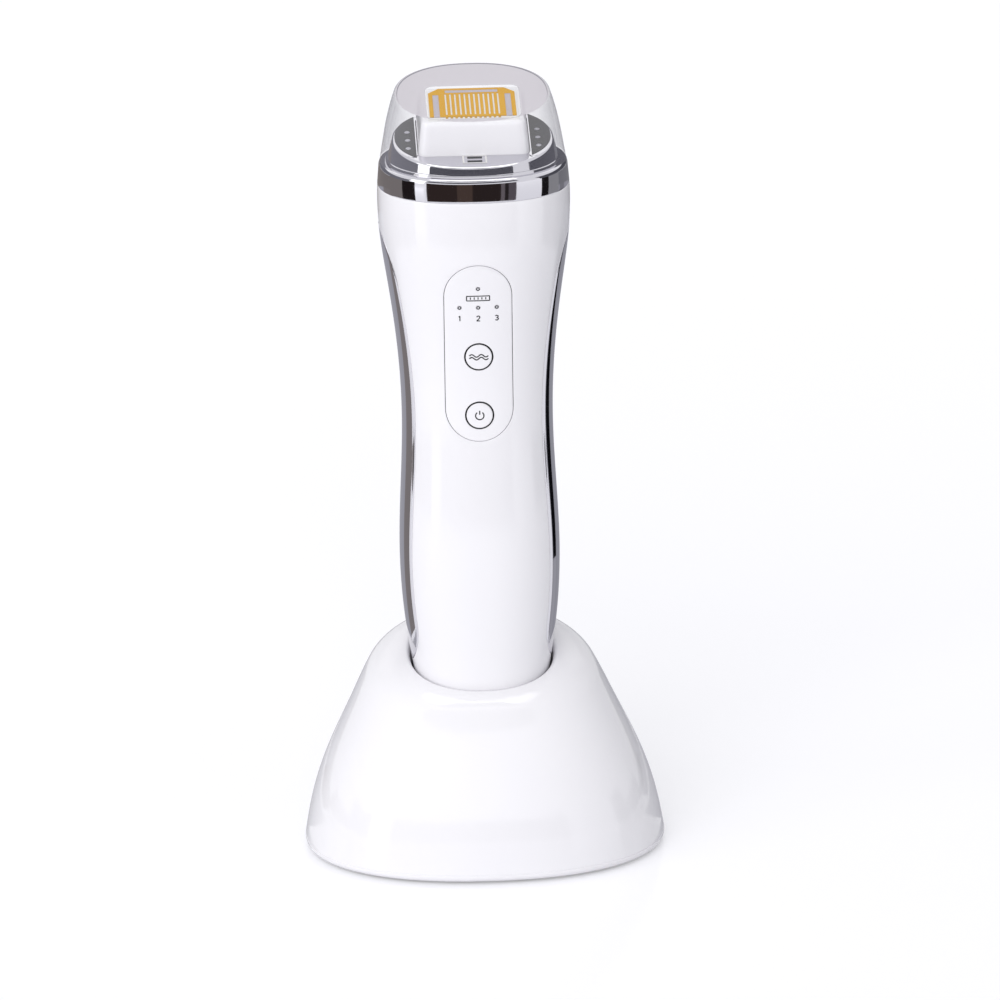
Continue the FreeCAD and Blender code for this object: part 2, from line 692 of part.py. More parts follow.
def front_housing():
    """Front half of the housing with the panel recess, board posts and screw bosses."""
    inner = HOUSING_WALL * POST_ROOT_SHARE
    wall = housing_wall().common(before(HANDSET_SETBACK))
    posts = []
    for x, level in main_post_places():
        posts.append(rod(MAIN_POST_RADIUS, x, -OVERRUN, MAIN_BOARD_FACE, level).common(body(inner)))
    for x, level in housing_boss_places():
        posts.append(rod(HOUSING_BOSS_RADIUS, x, -OVERRUN, HANDSET_SETBACK, level).common(body(inner)))
    half = fuse([wall] + posts)
    half = half.cut(pill(SEAM_GAP).cut(body(PANEL_THICKNESS)))
    for level in (MODE_LEVEL, POWER_LEVEL):
        half = half.cut(rod(SEAL_OUTER_RADIUS, 0, -OVERRUN, HANDSET_SETBACK, level))
    for x, level in lamp_places():
        half = half.cut(rod(LAMP_RADIUS + SLIDE_GAP, x, -OVERRUN, HANDSET_SETBACK, level))
    for x, level in main_post_places():
        hole_front = MAIN_BOARD_FACE - BOARD_SCREW_LENGTH
        half = half.cut(rod(BOARD_SCREW_RADIUS + SLIDE_GAP, x, hole_front, HANDSET_SETBACK, level))
    for x, level in housing_boss_places():
        hole_front = HANDSET_SETBACK + HOUSING_SCREW_SEAT - HOUSING_SCREW_LENGTH
        half = half.cut(rod(HOUSING_SCREW_RADIUS + SLIDE_GAP, x, hole_front, OVERRUN, level))
    return half


def cradle_rib_levels():
    """Heights of the two ribs that carry the battery cradle."""
    middle = CELL_BOTTOM + CELL_LENGTH / 2
    reach = CELL_LENGTH * RIB_SPAN_SHARE / 2
    return (middle - reach, middle + reach)


def rear_housing():
    """Rear half of the housing with screw wells, board posts and cradle ribs."""
    inner = HOUSING_WALL * POST_ROOT_SHARE
    wall = housing_wall().common(behind(HANDSET_SETBACK))
    posts = []
    for x, level in rf_post_places():
        face = RF_BOARD_FACE + BOARD_THICKNESS
        posts.append(rod(MAIN_POST_RADIUS, x, face, OVERRUN, level).common(body(inner)))
    for x, level in housing_boss_places():
        well_wall = HOUSING_SCREW_HEAD_RADIUS + HOUSING_SCREW_HEAD_RADIUS / 2
        posts.append(rod(HOUSING_BOSS_RADIUS, x, HANDSET_SETBACK, OVERRUN, level).common(body(inner)))
        seat = HANDSET_SETBACK + HOUSING_SCREW_SEAT - HOUSING_WALL
        posts.append(rod(well_wall, x, seat, OVERRUN, level).common(body(inner)))
    for level in cradle_rib_levels():
        rib = block(Vector(-RIB_WIDTH / 2, CELL_Y, level - RIB_THICKNESS / 2),
                    Vector(RIB_WIDTH / 2, OVERRUN, level + RIB_THICKNESS / 2))
        posts.append(rib.common(body(inner)).cut(upright(CRADLE_RADIUS, 0, CELL_Y, 0, OVERRUN)))
    half = fuse([wall] + posts)
    for x, level in rf_post_places():
        hole_back = RF_BOARD_FACE + BOARD_SCREW_LENGTH
        half = half.cut(rod(BOARD_SCREW_RADIUS + SLIDE_GAP, x, HANDSET_SETBACK, hole_back, level))
    for x, level in housing_boss_places():
        half = half.cut(rod(HOUSING_SCREW_RADIUS + SLIDE_GAP, x, -OVERRUN, OVERRUN, level))
        seat = HANDSET_SETBACK + HOUSING_SCREW_SEAT
        half = half.cut(rod(HOUSING_SCREW_HEAD_RADIUS + SEAM_GAP, x, seat, OVERRUN, level))
    return half


def housing_screws():
    """Four screws that join the housing halves from the back."""
    screws = []
    for x, level in housing_boss_places():
        seat = HANDSET_SETBACK + HOUSING_SCREW_SEAT
        shank = rod(HOUSING_SCREW_RADIUS, x, seat - HOUSING_SCREW_LENGTH, seat, level)
        head = rod(HOUSING_SCREW_HEAD_RADIUS, x, seat, seat + HOUSING_SCREW_HEAD, level)
        screws.append(fuse([shank, head]))
    return Part.makeCompound(screws)


def tail_cap():
    """Rounded end cap with a spigot inside the housing and wells for the charge contacts."""
    skirt = body(0).common(levels(HANDSET_FOOT, HANDSET_FOOT + TAIL_HEIGHT))
    foot = edges_between(skirt, HANDSET_FOOT - TAIL_EDGE_RADIUS, HANDSET_FOOT + TAIL_EDGE_RADIUS)
    skirt = skirt.makeFillet(TAIL_EDGE_RADIUS, foot)
    spigot_inset = HOUSING_WALL + SEAM_GAP
    spigot_top = HANDSET_FOOT + TAIL_HEIGHT + TAIL_SPIGOT
    spigot = body(spigot_inset).common(levels(HANDSET_FOOT + TAIL_FLOOR, spigot_top))
    cap = fuse([skirt, spigot])
    cap = cap.cut(body(spigot_inset + TAIL_SPIGOT_WALL).common(levels(HANDSET_FOOT + TAIL_FLOOR, OVERRUN)))
    for x in (-CONTACT_SPAN / 2, CONTACT_SPAN / 2):
        cap = cap.cut(upright(CONTACT_STEM_RADIUS + SLIDE_GAP, x, HANDSET_SETBACK, 0, OVERRUN))
        well_top = HANDSET_FOOT + CONTACT_RECESS + CONTACT_THICKNESS
        cap = cap.cut(upright(CONTACT_RADIUS + SEAM_GAP, x, HANDSET_SETBACK, 0, well_top))
    return cap


def charge_board_level():
    """Height of the charge board's underside."""
    return HANDSET_FOOT + TAIL_HEIGHT + TAIL_SPIGOT


def charge_contacts():
    """Two plated contacts in the tail, with stems up to the charge board."""
    contacts = []
    for x in (-CONTACT_SPAN / 2, CONTACT_SPAN / 2):
        face = HANDSET_FOOT + CONTACT_RECESS
        pad = upright(CONTACT_RADIUS, x, HANDSET_SETBACK, face, face + CONTACT_THICKNESS)
        stem = upright(CONTACT_STEM_RADIUS, x, HANDSET_SETBACK, face, charge_board_level())
        contacts.append(fuse([pad, stem]))
    return Part.makeCompound(contacts)


def charge_board():
    """Small oval circuit board on the tail cap's spigot."""
    bottom = charge_board_level()
    return body(HOUSING_WALL + 2 * SEAM_GAP).common(levels(bottom, bottom + CHARGE_BOARD_THICKNESS))


def control_panel():
    """Pill-shaped panel with holes for the buttons and lamps."""
    panel = body(0).common(pill(0)).cut(body(PANEL_THICKNESS))
    for level in (MODE_LEVEL, POWER_LEVEL):
        panel = panel.cut(rod(SEAL_OUTER_RADIUS + SLIDE_GAP, 0, -OVERRUN, HANDSET_SETBACK, level))
    for x, level in lamp_places():
        panel = panel.cut(rod(LAMP_RADIUS + SLIDE_GAP, x, -OVERRUN, HANDSET_SETBACK, level))
    return panel


def button_seals():
    """Two thin dark rings that close the gap round the buttons."""
    seals = []
    for level in (MODE_LEVEL, POWER_LEVEL):
        outer = rod(SEAL_OUTER_RADIUS, 0, -OVERRUN, HANDSET_SETBACK, level)
        tube = outer.cut(rod(SEAL_INNER_RADIUS, 0, -OVERRUN, HANDSET_SETBACK, level))
        seals.append(tube.common(body(BUTTON_SEAL_SINK)).cut(body(PANEL_THICKNESS)))
    return Part.makeCompound(seals)


def button(level):
    """Push button with a retaining flange behind the wall and a stem to its switch."""
    flange_front = front_of(body(HOUSING_WALL), 0, level) + BUTTON_FLANGE_SETBACK
    face = rod(BUTTON_RADIUS, 0, -OVERRUN, flange_front, level).common(body(-BUTTON_PROUD))
    flange = rod(BUTTON_FLANGE_RADIUS, 0, flange_front, flange_front + BUTTON_FLANGE, level)
    stem = rod(BUTTON_STEM_RADIUS, 0, flange_front, PLUNGER_TIP, level)
    return fuse([face, flange, stem])


def switch_case(level):
    """Case of a push switch on the main board."""
    case = block(Vector(-SWITCH_SIDE / 2, MAIN_BOARD_FACE - SWITCH_HEIGHT, level - SWITCH_SIDE / 2),
                 Vector(SWITCH_SIDE / 2, MAIN_BOARD_FACE, level + SWITCH_SIDE / 2))
    front = MAIN_BOARD_FACE - SWITCH_HEIGHT
    return case.cut(rod(PLUNGER_RADIUS + SLIDE_GAP, 0, front - PLUNGER_PROUD, front + SWITCH_CAVITY, level))


def switch_plunger(level):
    """Plunger of a push switch, which moves with its button."""
    front = MAIN_BOARD_FACE - SWITCH_HEIGHT
    return rod(PLUNGER_RADIUS, 0, PLUNGER_TIP, front + PLUNGER_DEPTH, level)


def light_guide():
    """Clear moulding whose four pins bring the lamps' light to the panel."""
    back = HANDSET_SETBACK - GUIDE_SETBACK + GUIDE_THICKNESS
    front = back - GUIDE_THICKNESS
    middle = PANEL_LEVEL + (LAMP_ROW_RISE + CHARGE_LAMP_RISE) / 2
    plate = block(Vector(-GUIDE_WIDTH / 2, front, middle - GUIDE_HEIGHT / 2),
                  Vector(GUIDE_WIDTH / 2, back, middle + GUIDE_HEIGHT / 2))
    pins = []
    for x, level in lamp_places():
        pins.append(rod(LAMP_RADIUS, x, -OVERRUN, back, level).common(body(0)))
    return fuse([plate] + pins)


def indicator_lamps():
    """Four lamp chips on the main board behind the light guide."""
    chips = []
    for x, level in lamp_places():
        chips.append(block(Vector(x - CHIP_WIDTH / 2, MAIN_BOARD_FACE - CHIP_HEIGHT, level - CHIP_WIDTH / 2),
                           Vector(x + CHIP_WIDTH / 2, MAIN_BOARD_FACE, level + CHIP_WIDTH / 2)))
    return Part.makeCompound(chips)


def main_board():
    """Control board behind the panel."""
    board = block(Vector(-MAIN_BOARD_WIDTH / 2, MAIN_BOARD_FACE, BOARD_LEVEL - MAIN_BOARD_LENGTH / 2),
                  Vector(MAIN_BOARD_WIDTH / 2, MAIN_BOARD_FACE + BOARD_THICKNESS,
                         BOARD_LEVEL + MAIN_BOARD_LENGTH / 2))
    for x, level in main_post_places():
        board = board.cut(rod(BOARD_SCREW_RADIUS + SEAM_GAP, x, -OVERRUN, OVERRUN, level))
    return board


def board_screws():
    """Four screws that hold the main board to its posts."""
    screws = []
    for x, level in main_post_places():
        back = MAIN_BOARD_FACE + BOARD_THICKNESS
        shank = rod(BOARD_SCREW_RADIUS, x, MAIN_BOARD_FACE - BOARD_SCREW_LENGTH, back, level)
        head = rod(BOARD_SCREW_HEAD_RADIUS, x, back, back + BOARD_SCREW_HEAD, level)
        screws.append(fuse([shank, head]))
    return Part.makeCompound(screws)


def buzzer():
    """Round sounder on the back of the main board."""
    back = MAIN_BOARD_FACE + BOARD_THICKNESS
    return rod(BUZZER_RADIUS, 0, back, back + BUZZER_HEIGHT, BOARD_LEVEL + BUZZER_RISE)


def rf_board():
    """High-frequency board on the rear housing's posts."""
    board = block(Vector(-RF_BOARD_WIDTH / 2, RF_BOARD_FACE, BOARD_LEVEL - RF_BOARD_LENGTH / 2),
                  Vector(RF_BOARD_WIDTH / 2, RF_BOARD_FACE + BOARD_THICKNESS, BOARD_LEVEL + RF_BOARD_LENGTH / 2))
    for x, level in rf_post_places():
        board = board.cut(rod(BOARD_SCREW_RADIUS + SEAM_GAP, x, -OVERRUN, OVERRUN, level))
    return board


def rf_board_screws():
    """Four screws that hold the high-frequency board to its posts."""
    screws = []
    for x, level in rf_post_places():
        shank = rod(BOARD_SCREW_RADIUS, x, RF_BOARD_FACE, RF_BOARD_FACE + BOARD_SCREW_LENGTH, level)
        head = rod(BOARD_SCREW_HEAD_RADIUS, x, RF_BOARD_FACE - BOARD_SCREW_HEAD, RF_BOARD_FACE, level)
        screws.append(fuse([shank, head]))
    return Part.makeCompound(screws)


def transformer_core():
    """Ferrite core: two yokes and three legs standing on the board."""
    level = BOARD_LEVEL - CORE_DROP
    front = RF_BOARD_FACE - CORE_HEIGHT
    whole = block(Vector(-CORE_WIDTH / 2, front, level - CORE_LENGTH / 2),
                  Vector(CORE_WIDTH / 2, RF_BOARD_FACE, level + CORE_LENGTH / 2))
    reach = CORE_LENGTH / 2 - CORE_LEG
    space = CORE_WIDTH / 2 - CORE_LEG
    frame = whole.cut(block(Vector(-space, front, level - reach), Vector(space, RF_BOARD_FACE, level + reach)))
    middle_leg = block(Vector(-CORE_LEG / 2, front + WINDING_DEPTH, level - CORE_LENGTH / 2),
                       Vector(CORE_LEG / 2, RF_BOARD_FACE - WINDING_DEPTH, level + CORE_LENGTH / 2))
    return fuse([frame, middle_leg])


def transformer_winding():
    """Winding round the core's middle leg, as one sleeve."""
    level = BOARD_LEVEL - CORE_DROP
    front = RF_BOARD_FACE - CORE_HEIGHT
    reach = CORE_LENGTH / 2 - CORE_LEG - WINDING_GAP
    outer = CORE_WIDTH / 2 - CORE_LEG - WINDING_GAP
    inner = CORE_LEG / 2 + WINDING_GAP
    sleeve = block(Vector(-outer, front, level - reach), Vector(outer, RF_BOARD_FACE, level + reach))
    hole_depth = WINDING_DEPTH - WINDING_GAP
    return sleeve.cut(block(Vector(-inner, front + hole_depth, level - reach),
                            Vector(inner, RF_BOARD_FACE - hole_depth, level + reach)))


def capacitors():
    """Two round capacitors on the high-frequency board."""
    cans = []
    for x in (-CAPACITOR_PITCH / 2, CAPACITOR_PITCH / 2):
        cans.append(rod(CAPACITOR_RADIUS, x, RF_BOARD_FACE - CAPACITOR_HEIGHT, RF_BOARD_FACE,
                        BOARD_LEVEL + CAPACITOR_RISE))
    return Part.makeCompound(cans)


def battery_cell():
    """Round rechargeable cell."""
    return upright(CELL_RADIUS, 0, CELL_Y, CELL_BOTTOM, CELL_BOTTOM + CELL_LENGTH)


def battery_cradle():
    """Half-round tray with end walls that holds the cell."""
    bottom = CELL_BOTTOM - CELL_GAP - CRADLE_END
    top = CELL_BOTTOM + CELL_LENGTH + CELL_GAP + CRADLE_END
    tray = upright(CRADLE_RADIUS, 0, CELL_Y, bottom, top).common(behind(CELL_Y))
    return tray.cut(upright(CRADLE_INNER_RADIUS, 0, CELL_Y, bottom + CRADLE_END, top - CRADLE_END))


def dome(inset):
    """Sloping upper part of the collar, before its top is cut."""
    foot_width = band_width() - 2 * DOME_STEP
    foot_depth = foot_width * BODY_DEPTH_SHARES[-1]
    middle = HEAD_LEVEL - BAND_TOP
    slope_x, slope_y = (DOME_WIDTH - foot_width) / middle, (DOME_DEPTH - foot_depth) / middle
    wires = []
    for level in (BAND_TOP - COLLAR_WALL, HEAD_LEVEL + DOME_REACH):
        rise = level - BAND_TOP
        wires.append(ring(foot_width + slope_x * rise - 2 * inset, foot_depth + slope_y * rise - 2 * inset,
                          HANDSET_SETBACK, level, BODY_POWER_SHARE))
    return Part.makeLoft(wires, True)


def band_width():
    """Width of the collar's neck, which the cap slips over."""
    return HEAD_WIDTH - 2 * (CAP_WALL + CAP_CLEARANCE)


def band(inset, bottom, top, draft):
    """Upright oval of the collar's neck."""
    depth = HEAD_WIDTH * BODY_DEPTH_SHARES[-1] - 2 * (CAP_WALL + CAP_CLEARANCE)
    foot = ring(band_width() - 2 * inset, depth - 2 * inset, HANDSET_SETBACK, bottom, BODY_POWER_SHARE)
    head = ring(band_width() - 2 * inset - 2 * draft, depth - 2 * inset - 2 * draft, HANDSET_SETBACK, top,
                BODY_POWER_SHARE)
    return Part.makeLoft([foot, head], True)


def window_form(grow):
    """Both dark windows beside the head block, in the head's own frame."""
    width = DOME_WIDTH - 2 * WINDOW_MARGIN + 2 * grow
    depth = DOME_DEPTH - 2 * WINDOW_MARGIN + 2 * grow
    face = Part.Face(ring(width, depth, 0, -WINDOW_DEPTH, BODY_POWER_SHARE))
    oval = face.extrude(Vector(0, 0, WINDOW_DEPTH))
    start = WINDOW_START - grow
    return oval.cut(block(Vector(-start, -OVERRUN, -OVERRUN), Vector(start, OVERRUN, OVERRUN)))


def led_places():
    """Places of the treatment lamps in the head's own frame."""
    places = []
    for x in (-LED_SETOUT, LED_SETOUT):
        for step in (-1, 0, 1):
            places.append((x, step * LED_PITCH - LED_OFFSET))
    return places


def catch_places():
    """Depths of the two catch slots in the head's own frame."""
    return (-CATCH_SETOUT, -CATCH_SETOUT - CATCH_PITCH)


def head_screw_places():
    """Places of the screws that hold the head block, in the head's own frame."""
    reach = BLOCK_DEPTH + BLOCK_FLANGE_REACH
    return mirrored_places(HEAD_SCREW_SPAN, reach, 0)


def rounded_plan(width, depth, corner, level):
    """Outline of a rectangle with round corners."""
    face = Part.makePlane(width, depth, Vector(-width / 2, -depth / 2, level))
    prism = face.extrude(Vector(0, 0, corner))
    uprights = [edge for edge in prism.Edges if edge.BoundBox.ZLength > corner / 2]
    prism = prism.makeFillet(corner, uprights)
    bottom = min(prism.Faces, key=lambda side: side.CenterOfMass.z)
    return bottom.OuterWire


def head_collar():
    """Chrome collar: tall flange, low neck and sloping dome, with seats for the head's pieces."""
    flange = body(0).common(levels(BODY_TOP, FLANGE_TOP))
    upper = dome(0).common(levels(BAND_TOP, OVERRUN)).common(below_head(0))
    spigot = body(HOUSING_WALL + SEAM_GAP).common(levels(BODY_TOP - SPIGOT_HEIGHT, BODY_TOP))
    collar = fuse([flange, band(0, FLANGE_TOP, BAND_TOP, BAND_DRAFT), upper, spigot])
    hollow = band(SPIGOT_WALL, BODY_TOP - SPIGOT_HEIGHT, BAND_TOP, BAND_DRAFT)
    collar = collar.cut(hollow)
    collar = collar.cut(dome(COLLAR_WALL).common(below_head(-COLLAR_TOP)))
    groove_bottom = BODY_TOP - SPIGOT_HEIGHT + SEAL_RISE
    groove = levels(groove_bottom - SEAM_GAP, groove_bottom + SEAL_HEIGHT + SEAM_GAP)
    collar = collar.cut(groove.cut(body(HOUSING_WALL + SEAM_GAP + SEAL_DEPTH)))
    opening = Part.Face(rounded_plan(BLOCK_WIDTH + 2 * SEAM_GAP, BLOCK_DEPTH + 2 * SEAM_GAP,
                                     BLOCK_CORNER + SEAM_GAP, -COLLAR_TOP - COLLAR_WALL))
    seats = [opening.extrude(Vector(0, 0, COLLAR_TOP + 2 * COLLAR_WALL)), window_form(SEAM_GAP)]
    for x, y in led_places():
        seats.append(upright(LED_RADIUS + SEAM_GAP, x, y, -COLLAR_TOP - COLLAR_WALL, 0))
    for y in catch_places():
        seats.append(centred_block(CATCH_WIDTH, CATCH_SLOT, 2 * CATCH_DEPTH, 0, y, -CATCH_DEPTH))
    for x, y in head_screw_places():
        seats.append(upright(HEAD_SCREW_RADIUS + SLIDE_GAP, x, y, -COLLAR_TOP - COLLAR_WALL,
                             HEAD_SCREW_GRIP - COLLAR_TOP))
    for seat in seats:
        collar = collar.cut(head_frame(seat))
    return collar


def collar_seal():
    """Flat sealing ring in the groove of the collar's spigot."""
    bottom = BODY_TOP - SPIGOT_HEIGHT + SEAL_RISE
    outer = body(HOUSING_WALL + REST_GAP)
    return outer.cut(body(HOUSING_WALL + SEAL_DEPTH + REST_GAP)).common(levels(bottom, bottom + SEAL_HEIGHT))


def plate_outline(inset, level):
    """Outline of the electrode plate, with its back corners cut off, in the head's own frame."""
    x, y = PLATE_WIDTH / 2 - inset, PLATE_DEPTH / 2 - inset
    cut = PLATE_CHAMFER
    corners = [(-x, -y), (x, -y), (x, y - cut), (x - cut, y), (cut - x, y), (-x, y - cut), (-x, -y)]
    return Part.Face(Part.makePolygon([Vector(corner_x, corner_y, level) for corner_x, corner_y in corners]))


def head_block():
    """White block that carries the electrode plate, with flanges under the collar's top."""
    foot = -COLLAR_TOP - BLOCK_FLANGE
    lower = rounded_plan(BLOCK_WIDTH, BLOCK_DEPTH, BLOCK_CORNER, 0)
    upper = rounded_plan(BLOCK_WIDTH - 2 * BLOCK_DRAFT, BLOCK_DEPTH - 2 * BLOCK_DRAFT, BLOCK_CORNER, BLOCK_HEIGHT)
    tower = Part.makeLoft([lower, upper], True, True)
    tower = tower.makeFillet(BLOCK_EDGE_RADIUS, edges_between(tower, BLOCK_HEIGHT / 2, OVERRUN))
    root = Part.Face(rounded_plan(BLOCK_WIDTH, BLOCK_DEPTH, BLOCK_CORNER, foot)).extrude(Vector(0, 0, -foot))
    flange = centred_block(BLOCK_FLANGE_WIDTH, BLOCK_DEPTH + 2 * BLOCK_FLANGE_REACH, BLOCK_FLANGE, 0, 0, foot)
    solid = fuse([tower, root, flange])
    cavity = BLOCK_WALL + BLOCK_DRAFT
    solid = solid.cut(centred_block(BLOCK_WIDTH - 2 * cavity, BLOCK_DEPTH - 2 * cavity,
                                    BLOCK_HEIGHT - BLOCK_WALL - foot, 0, 0, foot))
    seat = plate_outline(-SEAM_GAP, BLOCK_HEIGHT - PLATE_SINK).extrude(Vector(0, 0, PLATE_THICKNESS))
    solid = solid.cut(seat)
    for x, y in head_screw_places():
        solid = solid.cut(upright(HEAD_SCREW_RADIUS + SEAM_GAP, x, y, foot - BLOCK_FLANGE, -COLLAR_TOP))
    return head_frame(solid)


def head_screws():
    """Four screws from below that clamp the head block to the collar."""
    screws = []
    foot = -COLLAR_TOP - BLOCK_FLANGE
    for x, y in head_screw_places():
        head = upright(HEAD_SCREW_HEAD_RADIUS, x, y, foot - HEAD_SCREW_HEAD, foot)
        shank = upright(HEAD_SCREW_RADIUS, x, y, foot, HEAD_SCREW_GRIP - COLLAR_TOP - REST_GAP)
        screws.append(head_frame(fuse([head, shank])))
    return Part.makeCompound(screws)


def film_level():
    """Height of the top of the electrode carrier in the head's own frame."""
    return BLOCK_HEIGHT - PLATE_SINK + PLATE_THICKNESS


def electrode_carrier():
    """White ceramic plate under the electrodes."""
    plate = plate_outline(0, BLOCK_HEIGHT - PLATE_SINK).extrude(Vector(0, 0, PLATE_THICKNESS))
    return head_frame(plate)


def bar_blocks(grow):
    """The grey bars along three sides of the electrode, in the head's own frame."""
    side_x = PLATE_WIDTH / 2 - PLATE_MARGIN - BAR_INSET - BAR_WIDTH / 2
    back_y = PLATE_DEPTH / 2 - PLATE_MARGIN - BAR_INSET - BAR_WIDTH / 2
    side_length = PLATE_DEPTH - 2 * PLATE_MARGIN - PLATE_CHAMFER - 2 * BAR_INSET
    side_y = side_length / 2 - PLATE_DEPTH / 2 + PLATE_MARGIN + BAR_INSET
    back_length = 2 * (side_x - BAR_WIDTH - BAR_INSET)
    bars = []
    for x in (-side_x, side_x):
        bars.append(centred_block(BAR_WIDTH + 2 * grow, side_length + 2 * grow, FILM_THICKNESS, x, side_y,
                                  film_level()))
    bars.append(centred_block(back_length + 2 * grow, BAR_WIDTH + 2 * grow, FILM_THICKNESS, 0, back_y,
                              film_level()))
    return bars


def gold_electrode():
    """Gold film with a comb of fine slots and a row of small pads along its front."""
    inset_front = PLATE_MARGIN + PAD_INSET + PAD_DEPTH
    film = plate_outline(PLATE_MARGIN, film_level()).extrude(Vector(0, 0, FILM_THICKNESS))
    front_y = inset_front - PLATE_DEPTH / 2
    film = film.cut(before(front_y))
    for bar in bar_blocks(FILM_GAP):
        film = film.cut(bar)
    slot_length = PLATE_DEPTH - SLOT_FRONT - SLOT_BACK - 2 * PLATE_MARGIN
    slot_y = (SLOT_FRONT - SLOT_BACK) / 2
    pads = []
    for step in range(SLOT_COUNT):
        x = (step - (SLOT_COUNT - 1) / 2) * SLOT_PITCH
        film = film.cut(centred_block(SLOT_WIDTH, slot_length, FILM_THICKNESS, x, slot_y, film_level()))
        pads.append(centred_block(PAD_WIDTH, PAD_DEPTH, FILM_THICKNESS, x, front_y - PAD_DEPTH, film_level()))
    return head_frame(Part.makeCompound([film] + pads))


def grey_electrode():
    """Grey return electrode: three bars round the comb."""
    return head_frame(Part.makeCompound(bar_blocks(0)))


def lamp_window(side):
    """Dark window beside the head block."""
    window = window_form(0)
    for x, y in led_places():
        window = window.cut(upright(LED_RADIUS + SLIDE_GAP, x, y, -OVERRUN, OVERRUN))
    return head_frame(window.common(half_space(side)))


def treatment_lamps():
    """Six small lamps that show through the dark windows."""
    lamps = []
    for x, y in led_places():
        lamp = upright(LED_RADIUS, x, y, -COLLAR_TOP, LED_PROUD)
        lamp = lamp.makeFillet(LED_DOME, edges_between(lamp, 0, OVERRUN))
        lamps.append(head_frame(lamp))
    return Part.makeCompound(lamps)


def lamp_boards():
    """Two narrow boards under the collar's top that carry the treatment lamps."""
    boards = []
    for x in (-LED_SETOUT, LED_SETOUT):
        boards.append(head_frame(centred_block(LAMP_BOARD_WIDTH, LAMP_BOARD_LENGTH, LAMP_BOARD_THICKNESS, x,
                                               -LED_OFFSET, -COLLAR_TOP - LAMP_BOARD_THICKNESS)))
    return Part.makeCompound(boards)


def cap_catch():
    """Dark inserts at the bottom of the two catch slots."""
    inserts = []
    for y in catch_places():
        inserts.append(head_frame(centred_block(CATCH_WIDTH - 2 * SEAM_GAP, CATCH_SLOT - 2 * SEAM_GAP, CATCH_FILL,
                                                0, y, -CATCH_DEPTH)))
    return Part.makeCompound(inserts)


@lru_cache(maxsize=None)
def cap_form(inset):
    """Uncut form of the protective cap, shrunk all round by an inset."""
    wires = []
    for rise, width, depth in zip(CAP_RISE_SHARES, CAP_WIDTH_SHARES, CAP_DEPTH_SHARES):
        full_width = HEAD_WIDTH * width
        wires.append(ring(full_width - 2 * inset, full_width * depth - 2 * inset, HANDSET_SETBACK,
                          FLANGE_TOP + CAP_PEAK * rise, BODY_POWER_SHARE))
    return Part.makeLoft(wires, True)


def protective_cap():
    """Clear cap over the head, standing on the collar's flange."""
    outer = cap_form(0).common(below_head(CAP_TOP_RISE))
    edge = [edge for edge in outer.Edges if edge.Closed and edge.BoundBox.ZMin > FLANGE_TOP + CAP_WALL]
    outer = outer.makeFillet(CAP_EDGE_RADIUS, edge)
    return outer.cut(cap_form(CAP_WALL).common(below_head(CAP_TOP_RISE - CAP_WALL)))


LEFT = -1
RIGHT = 1
PIN_X = CONTACT_SPAN / 2

NODES = {
    "stand_shell": stand_shell(),
    "socket_cup": socket_cup(),
    "base_plate": base_plate(),
    "foot_pads": foot_pads(),
    "base_screws": base_screws(),
    "contact_carrier": contact_carrier(),
    "charge_pin_left": charge_pin(LEFT * PIN_X),
    "charge_pin_right": charge_pin(RIGHT * PIN_X),
    "pin_spring_left": pin_spring(LEFT * PIN_X),
    "pin_spring_right": pin_spring(RIGHT * PIN_X),
    "stand_board": stand_board(),
    "carrier_screws": carrier_screws(),
    "dc_jack": dc_jack(),
    "dc_jack_pin": dc_jack_pin(),
    "front_housing": front_housing(),
    "rear_housing": rear_housing(),
    "housing_screws": housing_screws(),
    "tail_cap": tail_cap(),
    "charge_contacts": charge_contacts(),
    "charge_board": charge_board(),
    "side_strip_left": side_strip(LEFT),
    "side_strip_right": side_strip(RIGHT),
    "control_panel": control_panel(),
    "button_seals": button_seals(),
    "mode_button": button(MODE_LEVEL),
    "power_button": button(POWER_LEVEL),
    "mode_switch_case": switch_case(MODE_LEVEL),
    "power_switch_case": switch_case(POWER_LEVEL),
    "mode_switch_plunger": switch_plunger(MODE_LEVEL),
    "power_switch_plunger": switch_plunger(POWER_LEVEL),
    "light_guide": light_guide(),
    "indicator_lamps": indicator_lamps(),
    "main_board": main_board(),
    "board_screws": board_screws(),
    "buzzer": buzzer(),
    "rf_board": rf_board(),
    "rf_board_screws": rf_board_screws(),
    "transformer_core": transformer_core(),
    "transformer_winding": transformer_winding(),
    "capacitors": capacitors(),
    "battery_cell": battery_cell(),
    "battery_cradle": battery_cradle(),
    "head_collar": head_collar(),
    "collar_seal": collar_seal(),
    "head_block": head_block(),
    "head_screws": head_screws(),
    "electrode_carrier": electrode_carrier(),
    "gold_electrode": gold_electrode(),
    "grey_electrode": grey_electrode(),
    "lamp_window_left": lamp_window(LEFT),
    "lamp_window_right": lamp_window(RIGHT),
    "treatment_lamps": treatment_lamps(),
    "lamp_boards": lamp_boards(),
    "cap_catch": cap_catch(),
    "protective_cap": protective_cap(),
}

os.makedirs("parts", exist_ok=True)
for name, shape in NODES.items():
    shape.exportStep(os.path.join("parts", name + ".step"))
    box = shape.BoundBox
    print(name, shape.isValid(), len(shape.Solids), round(shape.Volume, 2), round(box.ZMin, 2), round(box.ZMax, 2))
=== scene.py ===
"""Dress the face lifting device: a white handset under a clear cap, standing in its charging stand.

Lengths are millimetres unless a name says otherwise, and become metres when a mesh is made. The front is
towards -Y, and the origin lies on the floor under the middle of the stand.
"""

from __future__ import annotations

import logging
import math
from dataclasses import dataclass, field, replace
from enum import Enum
from functools import partial
from typing import Any, Callable

import bmesh
import bpy
import numpy as np
from mathutils import Matrix, Vector

